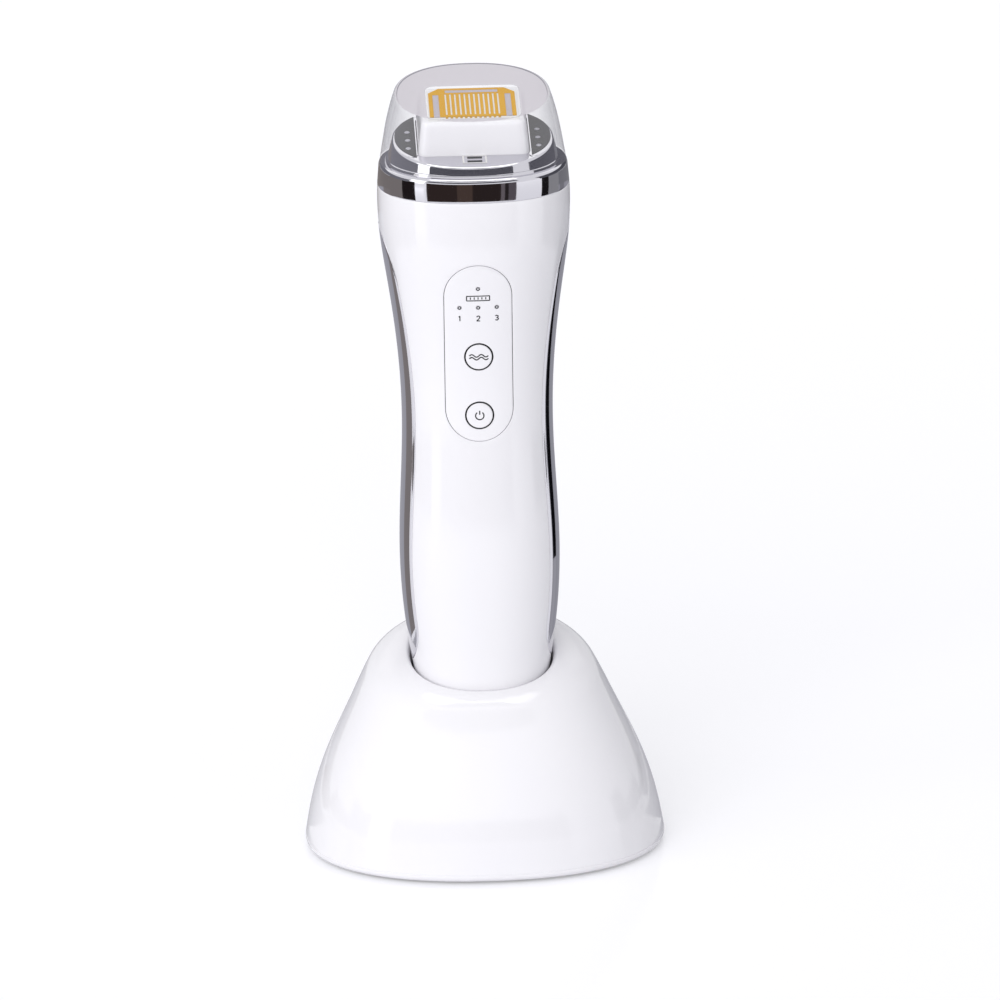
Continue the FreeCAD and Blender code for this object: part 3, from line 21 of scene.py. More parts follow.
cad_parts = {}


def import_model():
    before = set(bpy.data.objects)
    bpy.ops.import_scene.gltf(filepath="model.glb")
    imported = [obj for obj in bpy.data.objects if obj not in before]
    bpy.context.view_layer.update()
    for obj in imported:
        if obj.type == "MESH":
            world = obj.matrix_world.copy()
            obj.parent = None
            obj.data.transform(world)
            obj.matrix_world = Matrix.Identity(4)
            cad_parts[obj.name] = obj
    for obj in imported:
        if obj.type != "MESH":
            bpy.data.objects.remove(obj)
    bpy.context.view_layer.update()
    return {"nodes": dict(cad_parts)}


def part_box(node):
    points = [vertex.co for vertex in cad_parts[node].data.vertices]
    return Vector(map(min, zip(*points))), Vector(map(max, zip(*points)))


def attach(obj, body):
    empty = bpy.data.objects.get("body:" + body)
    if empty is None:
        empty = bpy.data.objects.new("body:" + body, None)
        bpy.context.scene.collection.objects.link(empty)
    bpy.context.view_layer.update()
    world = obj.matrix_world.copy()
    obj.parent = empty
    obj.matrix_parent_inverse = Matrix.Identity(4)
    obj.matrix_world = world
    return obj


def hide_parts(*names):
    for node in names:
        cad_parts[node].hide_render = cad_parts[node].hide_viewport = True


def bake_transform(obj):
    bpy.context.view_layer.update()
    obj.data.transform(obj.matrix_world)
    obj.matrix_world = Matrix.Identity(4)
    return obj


LOG = logging.getLogger("face_lifting_device")
Array = np.ndarray
Surface = Callable[[Array, Array, Array], Array]
Ring = Callable[[Array], Array]
Spot = tuple[float, float, float]
Pair = tuple[float, float]
Shares = tuple[float, ...]

MM = 0.001
QUARTER = math.pi / 2
FULL = 2 * math.pi
TINY = 1e-9
MERGE_DISTANCE, DEGENERATE_DISTANCE = 0.002, 0.0002
SHARP_ANGLE = math.radians(38.0)
BOTH = (-1, 1)
# The sRGB curve: where its straight part ends, its slope, its offset and its power
SRGB_KNEE, SRGB_SLOPE, SRGB_OFFSET, SRGB_POWER = 0.04045, 12.92, 0.055, 2.4
# Finer steps that measure an oval, steps that find where a form meets a plane, and least points of a line
FINENESS, MEET_STEPS, LEAST_POINTS = 16, 30, 3
# Cosine from which two directions count as straight on
STRAIGHT = 0.999
# Rows of the sheet round a hole, and of a hole's rounded edge
SHEET_ROWS, EDGE_ROWS = 5, 4
# How a shell's end turns in at a joint: heights of its last rows, their depths, and the first full row
END_RISES, END_SINKS, END_LAND = (0.0, 0.0, 0.05), (1.6, 0.15, 0.05), 0.2
# Last rows of a plate with turned-in edges, in shares of its half width, and where the others start
PLATE_EDGE, PLATE_INNER = (-1.0, -1.0, -0.985), 0.96
# Range of a noise texture, the detail of broad and of fine noise, and the strength of a bump
NOISE_LOW, NOISE_HIGH, PATCH_DETAIL, GRAIN_DETAIL, BUMP_STRENGTH = 0.3, 0.7, 2.0, 3.0, 1.0

MATH, VECTOR_MATH, MIX = "ShaderNodeMath", "ShaderNodeVectorMath", "ShaderNodeMix"
PRINCIPLED = "ShaderNodeBsdfPrincipled"
MAP_RANGE, NOISE, OUTPUT = "ShaderNodeMapRange", "ShaderNodeTexNoise", "ShaderNodeOutputMaterial"


def linear(code: str) -> tuple[float, float, float, float]:
    """Turn an sRGB hex colour into linear light.

    Args:
        code: Six hex digits after a hash sign.

    Returns:
        Red, green, blue and an alpha of one.
    """
    parts = np.array([int(code[start:start + 2], 16) for start in (1, 3, 5)]) / 255
    curved = ((parts + SRGB_OFFSET) / (1 + SRGB_OFFSET)) ** SRGB_POWER
    return (*np.where(parts <= SRGB_KNEE, parts / SRGB_SLOPE, curved).tolist(), 1.0)


def add_node(tree: bpy.types.NodeTree, kind: str, settings: dict[str, Any] | None = None,
             inputs: dict[Any, Any] | None = None) -> bpy.types.Node:
    """Add a shader node, set its properties and fill or link its inputs.

    Args:
        tree: Node tree that gets the node.
        kind: Blender's name of the node's type.
        settings: Properties of the node.
        inputs: Values or output sockets, by the input's name or number.

    Returns:
        The new node.
    """
    node = tree.nodes.new(kind)
    for name, value in (settings or {}).items():
        setattr(node, name, value)
    for name, value in (inputs or {}).items():
        if isinstance(value, bpy.types.NodeSocket):
            tree.links.new(value, node.inputs[name])
        else:
            node.inputs[name].default_value = value
    return node


def empty_tree(owner: bpy.types.Material | bpy.types.World) -> bpy.types.NodeTree:
    """Give a material or a world an empty node tree.

    Args:
        owner: The material or the world.

    Returns:
        Its node tree.
    """
    owner.use_nodes = True
    owner.node_tree.nodes.clear()
    return owner.node_tree


def linked(name: str, data: Any) -> bpy.types.Object:
    """Link a new object to the scene.

    Args:
        name: Its name.
        data: Its mesh, lamp or camera.

    Returns:
        The object.
    """
    made = bpy.data.objects.new(name, data)
    bpy.context.scene.collection.objects.link(made)
    return made


class Spline:
    """Smooth curve through given values, as a natural cubic spline."""

    def __init__(self, knots: Array, values: Array) -> None:
        """Solve for the second derivatives that make the pieces meet smoothly.

        Args:
            knots: Rising places.
            values: Value at each place.
        """
        self.knots, self.values = knots, values
        steps, rises = np.diff(knots), np.diff(values)
        count = len(knots)
        matrix, right = np.eye(count), np.zeros(count)
        inner = np.arange(1, count - 1)
        matrix[inner, inner] = 2 * (steps[:-1] + steps[1:])
        matrix[inner, inner - 1] = steps[:-1]
        matrix[inner, inner + 1] = steps[1:]
        right[inner] = 6 * (rises[1:] / steps[1:] - rises[:-1] / steps[:-1])
        self.bends = np.linalg.solve(matrix, right)

    def __call__(self, places: Array) -> Array:
        """Add a cubic bow to the straight line between two knots.

        Args:
            places: Places of any shape.

        Returns:
            The curve's values there.
        """
        index = np.clip(np.searchsorted(self.knots, places) - 1, 0, len(self.knots) - 2)
        step = self.knots[index + 1] - self.knots[index]
        ahead = (self.knots[index + 1] - places) / step
        behind = (places - self.knots[index]) / step
        bow = (ahead ** 3 - ahead) * self.bends[index] + (behind ** 3 - behind) * self.bends[index + 1]
        return ahead * self.values[index] + behind * self.values[index + 1] + bow * step ** 2 / 6


def joined(*coordinates: Any) -> Array:
    """Stack coordinates of any matching shapes into points."""
    return np.stack(np.broadcast_arrays(*coordinates), axis=-1).astype(float)


def unit(vectors: Array) -> Array:
    """Scale vectors to a length of one."""
    return vectors / np.maximum(np.linalg.norm(vectors, axis=-1, keepdims=True), TINY)


def framed(edge: Shares, middle: Array, sign: int = 1) -> Array:
    """Put values before others, and the same values in reverse, times a sign, after them."""
    return np.concatenate([edge, middle, sign * np.array(edge)[::-1]])


def between(start: Array, end: Array, count: int) -> Array:
    """Rows of points at even steps from one row to another, without the first row."""
    return start + (end - start) * np.linspace(0, 1, count)[1:, None, None]


def travelled(path: Array) -> Array:
    """Length of a path up to each of its points."""
    return np.concatenate([[0.0], np.cumsum(np.linalg.norm(np.diff(path, axis=0), axis=1))])


def superoval(turns: Array, power: float) -> tuple[Array, Array]:
    """Unit rounded oval: the signed cosine and sine of some angles to the power two over its power."""
    across, along = np.cos(turns), np.sin(turns)
    return np.sign(across) * np.abs(across) ** (2 / power), np.sign(along) * np.abs(along) ** (2 / power)


def arch(share: Array, power: float) -> Array:
    """Other coordinate of a unit rounded oval: (1 - |share| to the power) to the power one over it."""
    return np.clip(1 - np.abs(share) ** power, 0, 1) ** (1 / power)


def even_turns(count: int, halves: Pair, power: float) -> Array:
    """Angles that lie at even distances along a rounded oval.

    Args:
        count: Number of angles, a multiple of four.
        halves: Half the oval's width and half its depth.
        power: Power of the oval.

    Returns:
        Angles in radians from zero up.
    """
    fine = np.linspace(0, FULL, FINENESS * count + 1)
    lengths = travelled(joined(*superoval(fine, power)) * halves)
    return np.interp(np.arange(count) / count * lengths[-1], lengths, fine)


def ruled(marks: Array, step: float) -> Array:
    """Rising values that hold every mark and lie at most a step apart.

    Args:
        marks: Values to hold.
        step: Largest distance.

    Returns:
        The values.
    """
    marks = np.unique(marks)
    runs = [np.linspace(low, high, max(1, math.ceil((high - low) / step)), endpoint=False)
            for low, high in zip(marks, marks[1:])]
    return np.concatenate(runs + [marks[-1:]])


def rounded_corner(start: Array, corner: Array, end: Array, count: int) -> Array:
    """Rows of points round a corner: a rational quadratic curve whose weight makes it an arc of a circle.

    Args:
        start: Points where the rounding begins.
        corner: Points of the sharp corner.
        end: Points where the rounding ends.
        count: Number of rows, with the first and the last on start and end.

    Returns:
        Rows by columns by three.
    """
    cosine = np.clip(np.sum(unit(start - corner) * unit(end - corner), axis=-1), -1, 1)
    weight = np.sqrt((1 - cosine) / 2)[None, :, None]
    share = np.linspace(0, 1, count)[:, None, None]
    first, middle, last = (1 - share) ** 2, 2 * share * (1 - share) * weight, share ** 2
    return (first * start + middle * corner + last * end) / (first + middle + last)


def fillet(ring: Ring, corner: Array, inward: Array, radius: float, step: float, room: Array | float
           ) -> tuple[Array, Array]:
    """Where a round begins on a form's side and ends on its top.

    Its distance from the corner is the radius over the tangent of half the angle between side and top.

    Args:
        ring: Gives the form's points at some heights.
        corner: Points of the sharp corner.
        inward: Directions over the top.
        radius: Radius of the round.
        step: Height under the corner from which the side's direction is taken.
        room: Largest distance.

    Returns:
        Both rows of points.
    """
    below = ring(corner[:, 2] - step)
    cosine = np.clip(np.sum(unit(below - corner) * inward, axis=-1), -STRAIGHT, STRAIGHT)
    reach = np.minimum(radius / np.tan(np.arccos(cosine) / 2), room)
    drop = reach * (corner[:, 2] - below[:, 2]) / np.linalg.norm(corner - below, axis=-1)
    return ring(corner[:, 2] - drop), corner + inward * reach[:, None]


def meet(ring: Ring, plane: Callable[[Array], Array], start: float, count: int) -> Array:
    """Points where upright lines of a form meet a sloping plane, found by repeated steps.

    Args:
        ring: Gives the form's points at some heights.
        plane: Gives the plane's heights at some depths.
        start: First height.
        count: Number of lines.

    Returns:
        One point for each line.
    """
    level = np.full(count, start)
    for _ in range(MEET_STEPS):
        level = plane(ring(level)[:, 1])
    return ring(level)


def drawn(corners: Any, step: float) -> Array:
    """Points at even steps along a line through some corners.

    Args:
        corners: Points by two.
        step: Largest distance between points.

    Returns:
        Points by two.
    """
    corners = np.array(corners, float)
    lengths = travelled(corners)
    even = np.linspace(0, lengths[-1], max(LEAST_POINTS, math.ceil(lengths[-1] / step)))
    return joined(*(np.interp(even, lengths, column) for column in corners.T))


def arc(radius: float, start: float, stop: float, count: int) -> Array:
    """Points of an arc round zero between two angles in degrees."""
    turns = np.radians(np.linspace(start, stop, count))
    return joined(radius * np.cos(turns), radius * np.sin(turns))


def rectangle(half: float, low: float, high: float) -> Array:
    """Closed outline of a rectangle about the middle line, from its lower left corner on."""
    return np.array([(-half, low), (half, low), (half, high), (-half, high), (-half, low)])


def nearest(values: Array, marks: Any) -> Array:
    """Index of the value nearest to each mark."""
    return np.argmin(np.abs(values - np.asarray(marks)[..., None]), axis=-1)


def border(low: int, high: int, left: int, right: int) -> tuple[Array, Array]:
    """Border of a window of a grid, anticlockwise as seen from outside.

    Args:
        low: First row.
        high: Last row.
        left: First column.
        right: Last column.

    Returns:
        Rows and columns.
    """
    wide, tall = np.arange(left, right), np.arange(low, high)
    rows = [np.full(len(wide), low), tall, np.full(len(wide), high), np.arange(high, low, -1)]
    columns = [wide, np.full(len(tall), right), np.arange(right, left, -1), np.full(len(tall), left)]
    return np.concatenate(rows), np.concatenate(columns)


@dataclass(frozen=True)
class Stadium:
    """Outline of a hole: a circle that may be stretched along its second coordinate, with room round it."""

    across: float
    along: float
    radius: float
    straight: float = 0.0
    room: float = 0.0

    def spine(self, flat: Array) -> Array:
        """Give the points of the middle line that lie nearest to the given ones."""
        along = np.clip(flat[..., 1], self.along - self.straight, self.along + self.straight)
        return joined(self.across, along)


@dataclass(frozen=True)
class Stretch:
    """Two bodies that a springy piece joins, and where it meets the first and the second, in metres."""

    first: str
    second: str
    start: Spot
    end: Spot

    def __str__(self) -> str:
        """Name both bodies."""
        return f"{self.first} and {self.second}"


@dataclass
class Skin:
    """Gathers grids of points and makes one mesh of them."""

    points: list[Array] = field(default_factory=list)
    faces: list[Array] = field(default_factory=list)
    count: int = 0

    def grid(self, points: Array, wrap: bool = False, keep: Array | None = None) -> Skin:
        """Add a sheet of four-sided faces that look to the left of row times column.

        Args:
            points: Rows by columns by three.
            wrap: Whether the last column joins the first.
            keep: Which faces stay, or None for all of them.

        Returns:
            This skin.
        """
        rows, columns = points.shape[:2]
        index = np.arange(rows * columns).reshape(rows, columns) + self.count
        if wrap:
            index = np.concatenate([index, index[:, :1]], axis=1)
        corners = np.stack([index[:-1, :-1], index[:-1, 1:], index[1:, 1:], index[1:, :-1]], axis=-1)
        self.faces.append(corners.reshape(-1, 4) if keep is None else corners[keep])
        self.points.append(points.reshape(-1, 3))
        self.count += rows * columns
        return self

    def holed_grid(self, points: Array, flat: Array, holes: list[Stadium], surface: Surface, edge: float,
                   depth: float, seat: float | None = None) -> None:
        """Add a sheet with round or pill-shaped holes, each with a rounded edge and a wall.

        Round each hole a window of faces is left out, and rings of points blend from the window's border to
        the hole's outline.

        Args:
            points: Rows by columns by three.
            flat: The same points in the sheet's own two coordinates, both rising.
            holes: Outlines in those coordinates.
            surface: Gives points from the two coordinates and a depth under the surface.
            edge: Radius of the rounded edge.
            depth: Depth of the wall.
            seat: Y of the wall's end, where it isn't at an even depth.
        """
        keep = np.ones((points.shape[0] - 1, points.shape[1] - 1), bool)
        down = flat[:, points.shape[1] // 2, 1]
        for hole in holes:
            reach = np.array(BOTH) * (hole.radius + hole.room)
            low, high = nearest(down, hole.along + np.array(BOTH) * hole.straight + reach)
            left, right = nearest(flat[nearest(down, hole.along), :, 0], hole.across + reach)
            keep[low:high, left:right] = False
            at = border(low, high, left, right)
            self.hole_rim(points[at], flat[at], hole, surface, edge, depth, seat)
        self.grid(points, keep=keep)

    def hole_rim(self, loop: Array, flat: Array, hole: Stadium, surface: Surface, edge: float, depth: float,
                 seat: float | None = None, outward: bool = False) -> None:
        """Add the rings from a window's border to an outline, its rounded edge and its wall.

        Args:
            loop: Points of the border.
            flat: The same points in the sheet's own coordinates.
            hole: The outline.
            surface: Gives points from the two coordinates and a depth under the surface.
            edge: Radius of the rounded edge.
            depth: Depth of the wall.
            seat: Y of the wall's end, where it isn't at an even depth.
            outward: Whether the sheet lies inside the outline, as a plate's outer edge does.
        """
        middle = hole.spine(flat)
        away = unit(flat - middle)
        bend = np.linspace(0, QUARTER, EDGE_ROWS)[1:, None, None]
        reach = -edge if outward else edge
        sheet = between(flat, middle + away * (hole.radius + reach), SHEET_ROWS)
        curve = middle + away * (hole.radius + (1 - np.sin(bend)) * reach)
        plan = np.concatenate([sheet, curve, (middle + away * hole.radius)[None]])
        sinks = np.concatenate([np.zeros(len(sheet)), edge * (1 - np.cos(bend[:, 0, 0])), [depth]])
        rings = surface(plan[..., 0], plan[..., 1], sinks[:, None])
        if seat is not None:
            rings[-1, :, 1] = seat
        rings = np.concatenate([loop[None], rings])
        self.grid(rings[::-1] if outward else rings, wrap=True)

    def stroke(self, path: Array, width: float, surface: Surface, lift: float) -> None:
        """Add a flat printed stroke along a path on a surface.

        Args:
            path: Points by two, in the surface's own coordinates.
            width: Width of the stroke.
            surface: Gives points from the two coordinates and a depth under the surface.
            lift: Height of the print over the surface.
        """
        along = unit(np.gradient(path, axis=0))
        side = joined(-along[:, 1], along[:, 0]) * width / 2
        rows = np.stack([path - side, path + side])
        self.grid(surface(rows[..., 0], rows[..., 1], np.array(-lift)))

    def piece(self, name: str, body: str | Stretch, slot: str, finish: Finish, replaces: tuple[str, ...] = ()
              ) -> bpy.types.Object:
        """Make the mesh, shade it and put it on a body; a piece between two bodies is left unattached.

        Args:
            name: Name of the new piece.
            body: Body of the frame that it rides on, or the two bodies that it lies between, which it isn't
                attached to.
            slot: Material slot of the record; not used.
            finish: Its finish.
            replaces: Solids of the frame that it stands for.

        Returns:
            The new object, at the origin.
        """
        faces = np.concatenate(self.faces)
        used, corners = np.unique(faces, return_inverse=True)
        places = np.concatenate(self.points)[used] * MM
        mesh = bpy.data.meshes.new(name)
        mesh.from_pydata(places.tolist(), [], corners.reshape(faces.shape).tolist())
        work = bmesh.new()
        work.from_mesh(mesh)
        bmesh.ops.remove_doubles(work, verts=work.verts, dist=MERGE_DISTANCE * MM)
        bmesh.ops.dissolve_degenerate(work, edges=work.edges, dist=DEGENERATE_DISTANCE * MM)
        work.to_mesh(mesh)
        work.free()
        mesh.shade_smooth()
        mesh.set_sharp_from_angle(angle=SHARP_ANGLE)
        mesh.materials.append(finish.material())
        piece = linked(name, mesh)
        if isinstance(body, Stretch):
            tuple(body.start)
            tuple(body.end)
            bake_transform(piece)
        else:
            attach(piece, body)
        if replaces:
            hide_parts(*replaces)
        LOG.info("%s: %d faces on %s", name, len(mesh.polygons), body)
        return piece


@dataclass(frozen=True)
class Finish:
    """A real material with its colour, gloss and a fine surface pattern.

    Two soft noises work on it: a broad one moves the colour a little between two shades, and a fine one moves
    the roughness and raises the surface.
    """

    name: str
    colour: str
    shade: str
    roughness: float
    spread: float = 0.03
    metallic: float = 0.0
    ior: float = 1.5
    patch_mm: float = 30.0
    grain_mm: float = 2.0
    grain_height_mm: float = 0.001

    def material(self) -> bpy.types.Material:
        """Make the finish's material on its first use.

        Returns:
            The material.
        """
        known = bpy.data.materials.get(self.name)
        if known is not None:
            return known
        material = bpy.data.materials.new(self.name)
        tree = empty_tree(material)
        shader = add_node(tree, PRINCIPLED, inputs={"Metallic": self.metallic, "IOR": self.ior})
        add_node(tree, OUTPUT, inputs={"Surface": shader.outputs["BSDF"]})
        self.dress(tree, shader)
        return material

    def dress(self, tree: bpy.types.NodeTree, shader: bpy.types.Node) -> None:
        """Link the noises to the shader.

        Args:
            tree: Node tree of the material.
            shader: Its principled shader.
        """
        add = partial(add_node, tree)
        where = add("ShaderNodeTexCoord").outputs["Object"]
        patch, grain = (add(NOISE, inputs={"Vector": where, "Scale": 1 / (size * MM), "Detail": detail})
                        for size, detail in ((self.patch_mm, PATCH_DETAIL), (self.grain_mm, GRAIN_DETAIL)))
        mix = add(MIX, {"data_type": "RGBA"},
                  {0: patch.outputs["Fac"], 6: linear(self.colour), 7: linear(self.shade)})
        rough = add(MAP_RANGE, inputs={
            "Value": grain.outputs["Fac"], "From Min": NOISE_LOW, "From Max": NOISE_HIGH,
            "To Min": max(self.roughness - self.spread, 0.0), "To Max": self.roughness + self.spread})
        bump = add("ShaderNodeBump", inputs={"Height": grain.outputs["Fac"], "Strength": BUMP_STRENGTH,
                                             "Distance": self.grain_height_mm * MM})
        tree.links.new(mix.outputs[2], shader.inputs["Base Color"])
        tree.links.new(rough.outputs["Result"], shader.inputs["Roughness"])
        tree.links.new(bump.outputs["Normal"], shader.inputs["Normal"])


@dataclass(frozen=True)
class ClearAcrylic(Finish):
    """Clear moulded acrylic whose flat top is satin-etched round a polished window over the head's plate.

    The wall is almost clear where it faces the eye and denser where it is seen edge-on, where a painted grey
    stands in for the shade and reflections that a thick clear wall shows. The etched zone lies over a height
    in the head's tilted frame, and the window is a rectangle in it.
    """

    clear: float = 0.012
    flat: float = 0.02
    flat_least: float = 0.97
    specular: float = 0.25
    # Painted shade: the grey that the wall turns where it is seen edge-on
    edge: str = "#86848E"
    edge_on: float = 0.52
    edge_power: float = 1.25
    facing_blend: float = 0.5
    etched: float = 0.9
    frost: str = "#D0CBD2"
    tilt: float = 10.0
    head: Spot = (0.0, 3.0, 187.5)
    etch_rise_mm: float = 11.66
    window_centre_mm: Pair = (0.0, -4.8)
    window_half_mm: Pair = (11.8, 9.7)
    window_corner_mm: float = 2.4
    window_reach_m: float = 1.0
    border_mm: float = 0.2

    def dress(self, tree: bpy.types.NodeTree, shader: bpy.types.Node) -> None:
        """Add the see-through wall, the etched top and its window to the plain finish.

        The window is a rectangle with round corners: a point is in it if it is less than the corner's radius
        away from an inner rectangle. It reaches through any height.

        Args:
            tree: Node tree of the material.
            shader: Its principled shader.
        """
        super().dress(tree, shader)
        add = partial(add_node, tree)
        angle = math.radians(self.tilt)
        plain = shader.inputs["Base Color"].links[0].from_socket
        where = add("ShaderNodeTexCoord").outputs["Object"]
        head = tuple(value * MM for value in self.head)
        moved = add(VECTOR_MATH, {"operation": "SUBTRACT"}, {0: where, 1: head})
        level = add("ShaderNodeVectorRotate", {"rotation_type": "X_AXIS"},
                    {"Vector": moved.outputs[0], "Angle": -angle}).outputs[0]
        rise = add("ShaderNodeSeparateXYZ", inputs={0: level}).outputs["Z"]
        over = add(MATH, {"operation": "GREATER_THAN"}, {0: rise, 1: self.etch_rise_mm * MM})
        facing = add("ShaderNodeLayerWeight", inputs={"Blend": self.facing_blend}).outputs["Facing"]
        bent = add(MATH, {"operation": "POWER"}, {0: facing, 1: self.edge_power}).outputs[0]
        wall = add(MAP_RANGE, inputs={"Value": bent, "To Min": self.clear, "To Max": self.edge_on})
        normal = add("ShaderNodeNewGeometry").outputs["Normal"]
        upward = add(VECTOR_MATH, {"operation": "DOT_PRODUCT"},
                     {0: normal, 1: (0.0, -math.sin(angle), math.cos(angle))})
        either = add(MATH, {"operation": "ABSOLUTE"}, {0: upward.outputs["Value"]})
        is_flat = add(MATH, {"operation": "GREATER_THAN"}, {0: either.outputs[0], 1: self.flat_least})
        bare = add(MIX, {"data_type": "FLOAT"},
                   {0: is_flat.outputs[0], 2: wall.outputs["Result"], 3: self.flat})
        # Painted shade: the wall's colour blends to the edge grey as it is seen more edge-on
        edge_shaded = add(MIX, {"data_type": "RGBA"}, {0: bent, 6: plain, 7: linear(self.edge)})
        centre = (*(value * MM for value in self.window_centre_mm), 0.0)
        inner = (*((value - self.window_corner_mm) * MM for value in self.window_half_mm),
                 self.window_reach_m)
        spot = add(VECTOR_MATH, {"operation": "SUBTRACT"}, {0: level, 1: centre})
        spot = add(VECTOR_MATH, {"operation": "ABSOLUTE"}, {0: spot.outputs[0]})
        spot = add(VECTOR_MATH, {"operation": "SUBTRACT"}, {0: spot.outputs[0], 1: inner})
        spot = add(VECTOR_MATH, {"operation": "MAXIMUM"}, {0: spot.outputs[0], 1: (0.0, 0.0, 0.0)})
        length = add(VECTOR_MATH, {"operation": "LENGTH"}, {0: spot.outputs[0]})
        outside = add(MAP_RANGE, {"interpolation_type": "SMOOTHSTEP"}, {
            "Value": length.outputs["Value"], "From Min": (self.window_corner_mm - self.border_mm) * MM,
            "From Max": (self.window_corner_mm + self.border_mm) * MM})
        zone = add(MATH, {"operation": "MULTIPLY"},
                   {0: over.outputs[0], 1: outside.outputs["Result"]}).outputs[0]
        alpha = add(MIX, {"data_type": "FLOAT"}, {0: zone, 2: bare.outputs[0], 3: self.etched})
        frosted = add(MIX, {"data_type": "RGBA"}, {0: zone, 6: edge_shaded.outputs[2], 7: linear(self.frost)})
        shader.inputs["Specular IOR Level"].default_value = self.specular
        tree.links.new(alpha.outputs[0], shader.inputs["Alpha"])
        tree.links.new(frosted.outputs[2], shader.inputs["Base Color"])


# Polished ABS, injection moulded: mirror-like gloss with a faint orange peel
WHITE_GLOSS = Finish("polished_white_abs", "#F3F2F5", "#EFEEF2", 0.10, 0.02, ior=1.53, patch_mm=40.0,
                     grain_mm=2.6, grain_height_mm=0.0006)
# Chrome plate on ABS: a bright mirror with slight waviness from the moulding under it
CHROME = Finish("chrome_plated_abs", "#D8D7DC", "#D2D1D7", 0.05, 0.02, 1.0, grain_mm=4.0,
                grain_height_mm=0.0008)
# Clear acrylic, moulded and polished, with a faint grey-violet cast
CLEAR_CAP = ClearAcrylic("clear_moulded_acrylic", "#A5A3AD", "#9F9DA8", 0.12, 0.03, ior=1.49, grain_mm=5.0,
                         grain_height_mm=0.0004)
# Inner face of the clear acrylic: polished all over, and hardly seen
CLEAR_INSIDE = replace(CLEAR_CAP, name="polished_acrylic_inside", edge_on=0.06, etched=0.02)
# Painted shade: a grey that stands in for the dark look of the clear acrylic's thickness along the edge of
# the cap's top
CLEAR_EDGE_SHADE = Finish("painted_acrylic_edge_shade", "#87858F", "#807E89", 0.2, 0.03, ior=1.49, patch_mm=8.0)
# Fired ceramic plate, ground flat: white and satin
CERAMIC = Finish("ground_white_ceramic", "#EDECEA", "#E5E4E2", 0.35, 0.05, ior=1.6, grain_mm=0.5)
# Electroplated gold film: warm satin metal
GOLD_FILM = Finish("plated_gold_film", "#CB9B1E", "#C29116", 0.34, 0.06, 1.0, patch_mm=9.0, grain_mm=0.4)
# Tin-grey printed film: dull grey metal
GREY_FILM = Finish("printed_tin_film", "#B9B3BB", "#ADA7B0", 0.4, 0.06, 0.6, patch_mm=6.0, grain_mm=0.4)
# Smoke-tinted acrylic: dark and glossy
SMOKE = Finish("smoke_tinted_acrylic", "#141418", "#101014", 0.18, 0.03, ior=1.49, patch_mm=8.0, grain_mm=1.5)
# Clear epoxy of small lamps: pale and wet-looking
LAMP = Finish("cast_lamp_epoxy", "#B7B6BE", "#A9A8B2", 0.12, 0.03, ior=1.52, patch_mm=2.0, grain_mm=0.6)
# Milky acrylic of the light guide: white until a lamp behind it is lit
GUIDE = Finish("milky_acrylic", "#E9E8EC", "#E3E2E7", 0.15, 0.03, ior=1.49, patch_mm=2.0, grain_mm=0.6)
# Moulded silicone rubber: dull black
RUBBER = Finish("moulded_black_rubber", "#08080A", "#060608", 0.75, 0.08, grain_mm=0.6, grain_height_mm=0.004)
# Black ABS with a spark-eroded texture
BLACK_PLASTIC = Finish("textured_black_abs", "#202023", "#19191C", 0.42, 0.06, grain_mm=0.4,
                       grain_height_mm=0.003)
# Grey ABS with a spark-eroded texture
GREY_PLASTIC = Finish("textured_grey_abs", "#A9A8AE", "#9F9EA6", 0.42, 0.06, grain_mm=0.5,
                      grain_height_mm=0.003)
# Fibreglass circuit board under green solder resist
BOARD = Finish("green_circuit_board", "#1F6B45", "#185A39", 0.35, 0.08, patch_mm=3.0, grain_mm=0.4)
# Zinc-plated steel, turned
STEEL = Finish("zinc_plated_steel", "#B4B6B8", "#A6A8AB", 0.3, 0.08, 1.0, patch_mm=3.0, grain_mm=0.3)
# Hard gold on brass contacts
CONTACT_GOLD = Finish("hard_gold_contacts", "#E4B85A", "#D9AA48", 0.2, 0.05, 1.0, patch_mm=3.0, grain_mm=0.3)
# Pressed ferrite: dull dark grey
FERRITE = Finish("pressed_ferrite", "#3B3B3D", "#323234", 0.55, 0.08, patch_mm=3.0, grain_mm=0.3)
# Enamelled copper wire
COPPER = Finish("enamelled_copper", "#B8662F", "#A45624", 0.3, 0.08, 1.0, patch_mm=2.0, grain_mm=0.3)
# Shrink-wrapped cell: thin blue film over a metal can
CELL_JACKET = Finish("shrink_film_cell", "#3D6FB0", "#3564A2", 0.3, 0.06, patch_mm=12.0, grain_mm=1.0)
# Drawn aluminium can
CAN_METAL = Finish("drawn_aluminium_can", "#C6C8CC", "#B9BBC0", 0.28, 0.06, 1.0, patch_mm=5.0, grain_mm=0.3)
# Pad-printed ink: a dark grey
INK = Finish("pad_printed_grey_ink", "#1C1C21", "#18181C", 0.5, 0.05, patch_mm=2.0, grain_mm=0.3)

# Strokes of the plain numbers one to three, in shares of their height
NUMBER_SHARES = (
    ((-0.16, 0.3), (0.06, 0.5), (0.06, -0.5)),
    ((-0.3, 0.26), (-0.15, 0.48), (0.14, 0.48), (0.3, 0.26), (0.2, 0.02), (-0.3, -0.5), (0.32, -0.5)),
    ((-0.3, 0.38), (-0.06, 0.5), (0.26, 0.34), (0.14, 0.06), (-0.06, 0.02), (0.2, -0.04), (0.3, -0.27),
     (0.04, -0.5), (-0.3, -0.38)),
)


